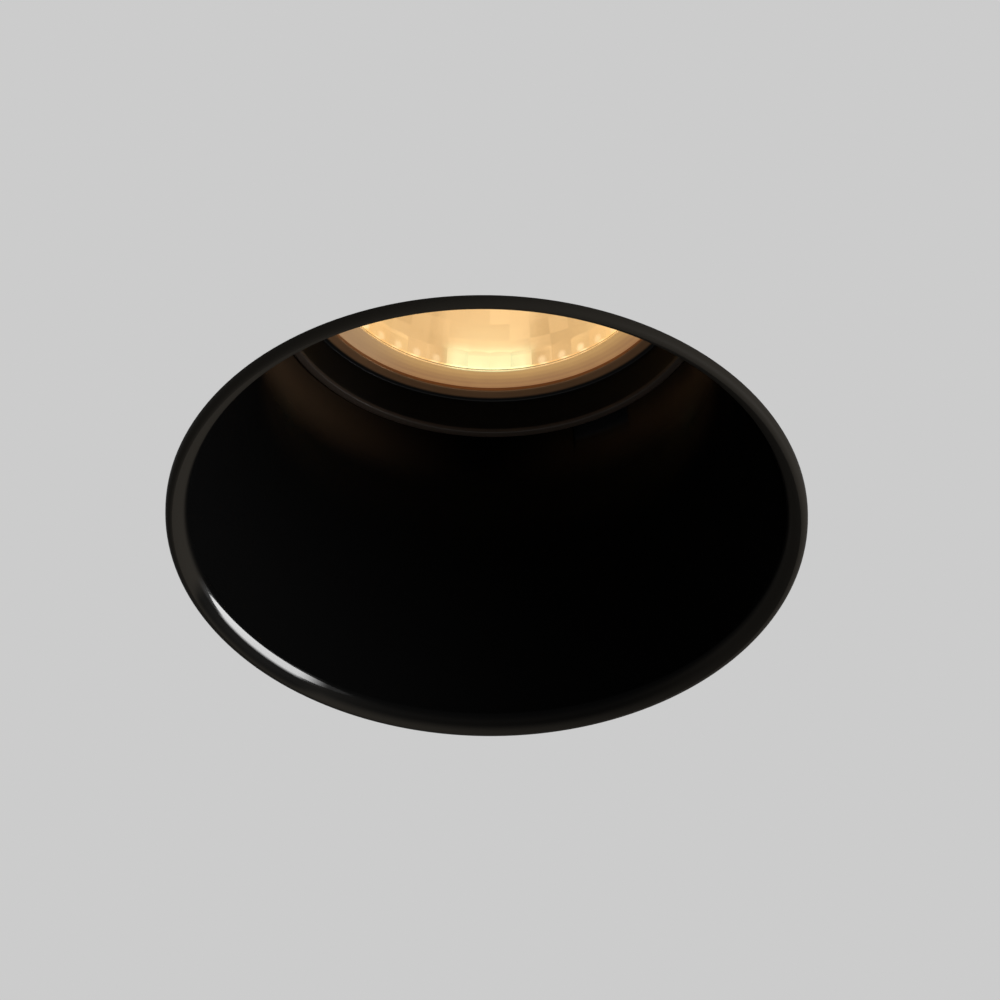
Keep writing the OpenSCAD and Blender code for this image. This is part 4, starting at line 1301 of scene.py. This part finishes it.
@dataclass
class SpringClip(Assembly):
    """One spring clip: bracket, rivets, pivot pin, wound wire and tip sleeve."""

    side: str = "right"
    body: Body = Body.CLIP_RIGHT
    pivot_x: float = 35.8
    pivot_z: float = 56.2
    bracket_x: float = 32.6
    coil_r: float = 2.2
    wire_r: float = 0.6
    pitch: float = 1.7
    coil_y0: float = 2.0
    turns: int = 3
    arm_len: float = 58.0
    tip_h: float = 4.5
    bend_r: float = 3.0
    pivot_r: float = 1.3
    ear_out: float = 9.675
    rivet_y: float = 4.0
    rivet_z: float = 64.4
    sleeve_r: float = 2.0
    turn: Matrix = field(default_factory=Matrix)

    def angles(self) -> tuple[float, float]:
        """The arm's fall and the turns' whole sweep, in degrees."""
        drop = math.degrees(math.asin((self.pivot_z - self.tip_h) / self.arm_len))
        return drop, 90 + drop + 360 * self.turns

    def half_path(self) -> list[Vector]:
        """Half of the wire in millimetres about the pivot, from its tail to the middle of its tip."""
        drop, sweep = self.angles()
        r, leave = self.coil_r, math.radians(90 - drop)
        way = Vector((math.cos(math.radians(drop)), 0, -math.sin(math.radians(drop))))
        arm_y = self.coil_y0 + self.pitch * sweep / 360
        foot = Vector((r * math.cos(leave), arm_y, r * math.sin(leave)))
        coil = []
        for share in shares(int(sweep / 10)):
            a, y = math.radians(180 - sweep * share), self.coil_y0 + self.pitch * sweep * share / 360
            coil.append(Vector((r * math.cos(a), y, r * math.sin(a))))
        centre = foot + (self.arm_len - self.bend_r) * way - Vector((0, self.bend_r, 0))
        turns = [math.pi / 2 * share for share in shares(10)]
        bend = [centre + self.bend_r * (Vector((0, 1, 0)) * math.cos(t) + way * math.sin(t)) for t in turns]
        arm = [foot + way * s for s in (1.2, 20, 38)]
        return [Vector((-r, self.coil_y0, -1.2))] + coil + arm + bend

    def spring(self) -> Piece:
        """Winds the wire as one unbroken piece."""
        half = self.half_path()
        whole = half + [Vector((p.x, -p.y, p.z)) for p in reversed(half)]
        pivot = Vector((self.pivot_x, 0, self.pivot_z))
        return self.wire("spring_wire_" + self.side, [(pivot + p) * MM for p in whole], self.wire_r, 4)

    def lying(self, piece: Piece, x: float, z: float) -> Piece:
        """Lays a turned piece along Y at the given place."""
        return self.moved(piece, shift(x, 0, z) @ twist(90, "X"))

    def pin(self) -> Piece:
        """Turns the pivot pin with its two riveted ends."""
        h, r = self.ear_out, self.pivot_r
        ends = [(0, -h - 0.8), (r + 0.4, -h - 0.8), (r + 0.7, -h - 0.5), (r + 0.7, -h), (r, -h)]
        profile = ends + [(a, -b) for a, b in reversed(ends)]
        piece = self.soften(self.turned("pivot_pin_" + self.side, profile, 40), 0.1, 2, 40)
        return self.lying(piece, self.pivot_x, self.pivot_z)

    def rivets(self) -> Piece:
        """Two domed rivets that stand out of the bracket."""
        dome = arc((0, 0.0), (2.0, 0.8), 0, 90, 8)
        section = [(0, -2.3), (1.2, -2.3), (1.2, 0)] + dome
        head = self.soften(self.turned("rivet_pair_" + self.side, section, 36), 0.08, 2, 45)
        lie = twist(90, "Y")
        places = [shift(self.bracket_x, y, self.rivet_z) for y in (-self.rivet_y, self.rivet_y)]
        return self.copies(head, [place @ lie for place in places])

    def sleeve(self) -> Piece:
        """Turns the plastic sleeve on the tip."""
        drop, sweep = self.angles()
        arm_y = self.coil_y0 + self.pitch * sweep / 360
        half = arm_y - self.bend_r - 0.3
        inner = self.wire_r + 0.05
        profile = hoop(inner, self.sleeve_r, -half, half)
        leave, fall = math.radians(90 - drop), math.radians(drop)
        x = self.pivot_x + self.coil_r * math.cos(leave) + self.arm_len * math.cos(fall)
        z = self.pivot_z + self.coil_r * math.sin(leave) - self.arm_len * math.sin(fall)
        return self.lying(self.soften(self.turned("tip_sleeve_" + self.side, profile, 48), 0.4, 4), x, z)

    def build(self) -> None:
        """Builds the clip and turns it to its side."""
        node = "bracket_" + self.side
        self.cast("clip_" + node, node, Palette.sheet, 0.18, 2, 40, 35, body=Body.HOUSING)
        for piece, finish, node, body in (
            (self.rivets(), Palette.rivet, "rivets_", Body.HOUSING),
            (self.pin(), Palette.screw, "pivot_", Body.HOUSING),
            (self.spring(), Palette.spring, "spring_", self.body),
            (self.sleeve(), Palette.sleeve, "sleeve_", self.body),
        ):
            self.dress(self.moved(piece, self.turn), finish, node + self.side, body=body)


# ---- Studio ----


@dataclass
class Studio(Bench):
    """Ceiling board, lights and camera."""

    hole_r: float = 40.5
    grey: float = 0.604
    floor: float = 0.72
    backdrop: float = 0.66
    world_light: float = 0.5
    fade: Pair = (250.0, 900.0)
    distance: float = 2500.0
    fall: float = 42.72
    roll: float = 0.86
    scale: float = 7.651
    mouth: Pair = (486.66, 513.9)

    def board(self, name: str, height: float, material: Material) -> None:
        """One face of the ceiling board, with the cut-out in it."""
        self.clear()
        bpy.ops.mesh.primitive_circle_add(
            vertices=128, radius=self.hole_r * MM, fill_type="NOTHING", location=(0, 0, height * MM)
        )
        piece = self.adopt(name)
        self.edit()
        for scale in (1.6, 5.0, 12.0, 3.0):
            bpy.ops.mesh.extrude_region_move()
            bpy.ops.transform.resize(value=(scale, scale, 1), center_override=(0, 0, height * MM))
        bpy.ops.object.mode_set(mode="OBJECT")
        piece.data.materials.append(material)

    def flat_face(self, name: str, lit: float, shown: float) -> Material:
        """A plain face that light sees as paint, and that camera, gloss and glass see as an even grey.

        Args:
            name: The material's name.
            lit: How pale the paint is.
            shown: The even grey, where 1 is white.

        Returns:
            The material.
        """
        sheet = Sheet(name)
        sheet.feed(Base_Color=(lit, lit, lit), Roughness=0.9)
        rays = ("Is Camera Ray", "Is Glossy Ray", "Is Transmission Ray")
        camera, gloss, glass = (sheet.node("ShaderNodeLightPath", {}, {}, ray) for ray in rays)
        return sheet.cover(camera.larger(gloss).larger(glass), shown)

    def painted(self, name: str, lit: float) -> Material:
        """Pale matt paint that keeps the object's shadow, and far off fades into the surroundings."""
        sheet = Sheet(name)
        cloud = sheet.noise(60, 3) * 0.02 + (lit - 0.01)
        colour = sheet.node("ShaderNodeCombineColor", {}, {0: cloud, 1: cloud, 2: cloud})
        sheet.feed(Base_Color=colour, Roughness=0.85)
        camera = sheet.node("ShaderNodeLightPath", {}, {}, "Is Camera Ray")
        return sheet.cover(sheet.reach().band(*self.fade) * camera, self.backdrop)

    def world(self) -> None:
        """Even pale surroundings."""
        made = bpy.data.worlds.new("surroundings")
        bpy.context.scene.world = made
        made.use_nodes = True
        tree = made.node_tree
        tree.nodes.clear()
        path = tree.nodes.new("ShaderNodeLightPath")
        mix = tree.nodes.new("ShaderNodeMixShader")
        tree.links.new(path.outputs["Is Camera Ray"], mix.inputs[0])
        for port, grey in enumerate((self.world_light, self.backdrop), 1):
            face = tree.nodes.new("ShaderNodeBackground")
            face.inputs["Color"].default_value = (grey, grey, grey, 1)
            tree.links.new(face.outputs[0], mix.inputs[port])
        out = tree.nodes.new("ShaderNodeOutputWorld")
        tree.links.new(mix.outputs[0], out.inputs["Surface"])

    def lamp(
        self, name: str, place: Point, size: Pair, radiance: float, turn: float = 0, shape: str = "RECTANGLE"
    ) -> None:
        """An area lamp that looks at the origin.

        Args:
            name: The lamp's name.
            place: Its place in metres.
            size: Its width and height in metres.
            radiance: How bright its face is.
            turn: How far it is turned about its own axis, in degrees.
            shape: The outline of its face.
        """
        data = bpy.data.lights.new(name, "AREA")
        data.shape = shape
        data.size, data.size_y = size
        data.energy = radiance * size[0] * size[1] * math.pi
        made = bpy.data.objects.new(name, data)
        bpy.context.scene.collection.objects.link(made)
        aim = (-Vector(place)).to_track_quat("-Z", "Y").to_matrix().to_4x4()
        made.matrix_world = Matrix.Translation(place) @ aim @ twist(turn)

    def camera(self) -> None:
        """A long lens below the ceiling, aimed so that the mouth lies where the photograph has it."""
        low, roll = math.radians(self.fall), math.radians(self.roll)
        forward = Vector((0, math.cos(low), math.sin(low)))
        up = Vector((0, -math.sin(low), math.cos(low)))
        right = forward.cross(up)
        right, up = right * math.cos(roll) + up * math.sin(roll), up * math.cos(roll) - right * math.sin(roll)
        aim = right * ((500 - self.mouth[0]) / self.scale) + up * ((self.mouth[1] - 500) / self.scale)
        data = bpy.data.cameras.new("camera")
        data.lens = self.scale * self.distance * 36 / 1000
        data.clip_start, data.clip_end = 0.1, 100
        made = bpy.data.objects.new("camera", data)
        bpy.context.scene.collection.objects.link(made)
        place = (aim - forward * self.distance) * MM
        made.matrix_world = Matrix.Translation(place) @ Matrix((right, up, -forward)).transposed().to_4x4()
        bpy.context.scene.camera = made

    def build(self) -> None:
        """Sets up the whole studio."""
        bpy.context.scene.view_settings.view_transform = "Standard"
        self.board("ceiling_underside", 0.02, self.flat_face("ceiling_grey", 0.6, self.grey))
        self.board("ceiling_topside", 0.4, self.painted("board_pale", self.floor))
        self.world()
        for settings in (
            ("window_right", (1.29, -0.2, -0.54), (1.6, 0.88), 11.0, 20.0, "ELLIPSE"),
            ("key_above", (-1.1, -1.3, 1.5), (1.4, 1.4), 3.0),
            ("fill_above", (1.5, -0.4, 0.9), (0.9, 1.4), 2.0),
            ("back_above", (0.4, 1.6, 1.1), (1.6, 0.7), 2.5),
        ):
            self.lamp(*settings)
        self.camera()
        LOG.info("studio ready")


def main() -> None:
    """Builds the object and its studio."""
    logging.basicConfig(level=logging.INFO, format="%(name)s: %(message)s")
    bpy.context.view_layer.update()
    for assembly in (
        Trim(),
        LampRing(),
        Lamp(),
        Housing(),
        LampHolder(),
        Gland(),
        SpringClip(),
        SpringClip(side="left", body=Body.CLIP_LEFT, turn=twist(180)),
    ):
        assembly.build()
    Studio().build()


if __name__ == "__main__":
    main()
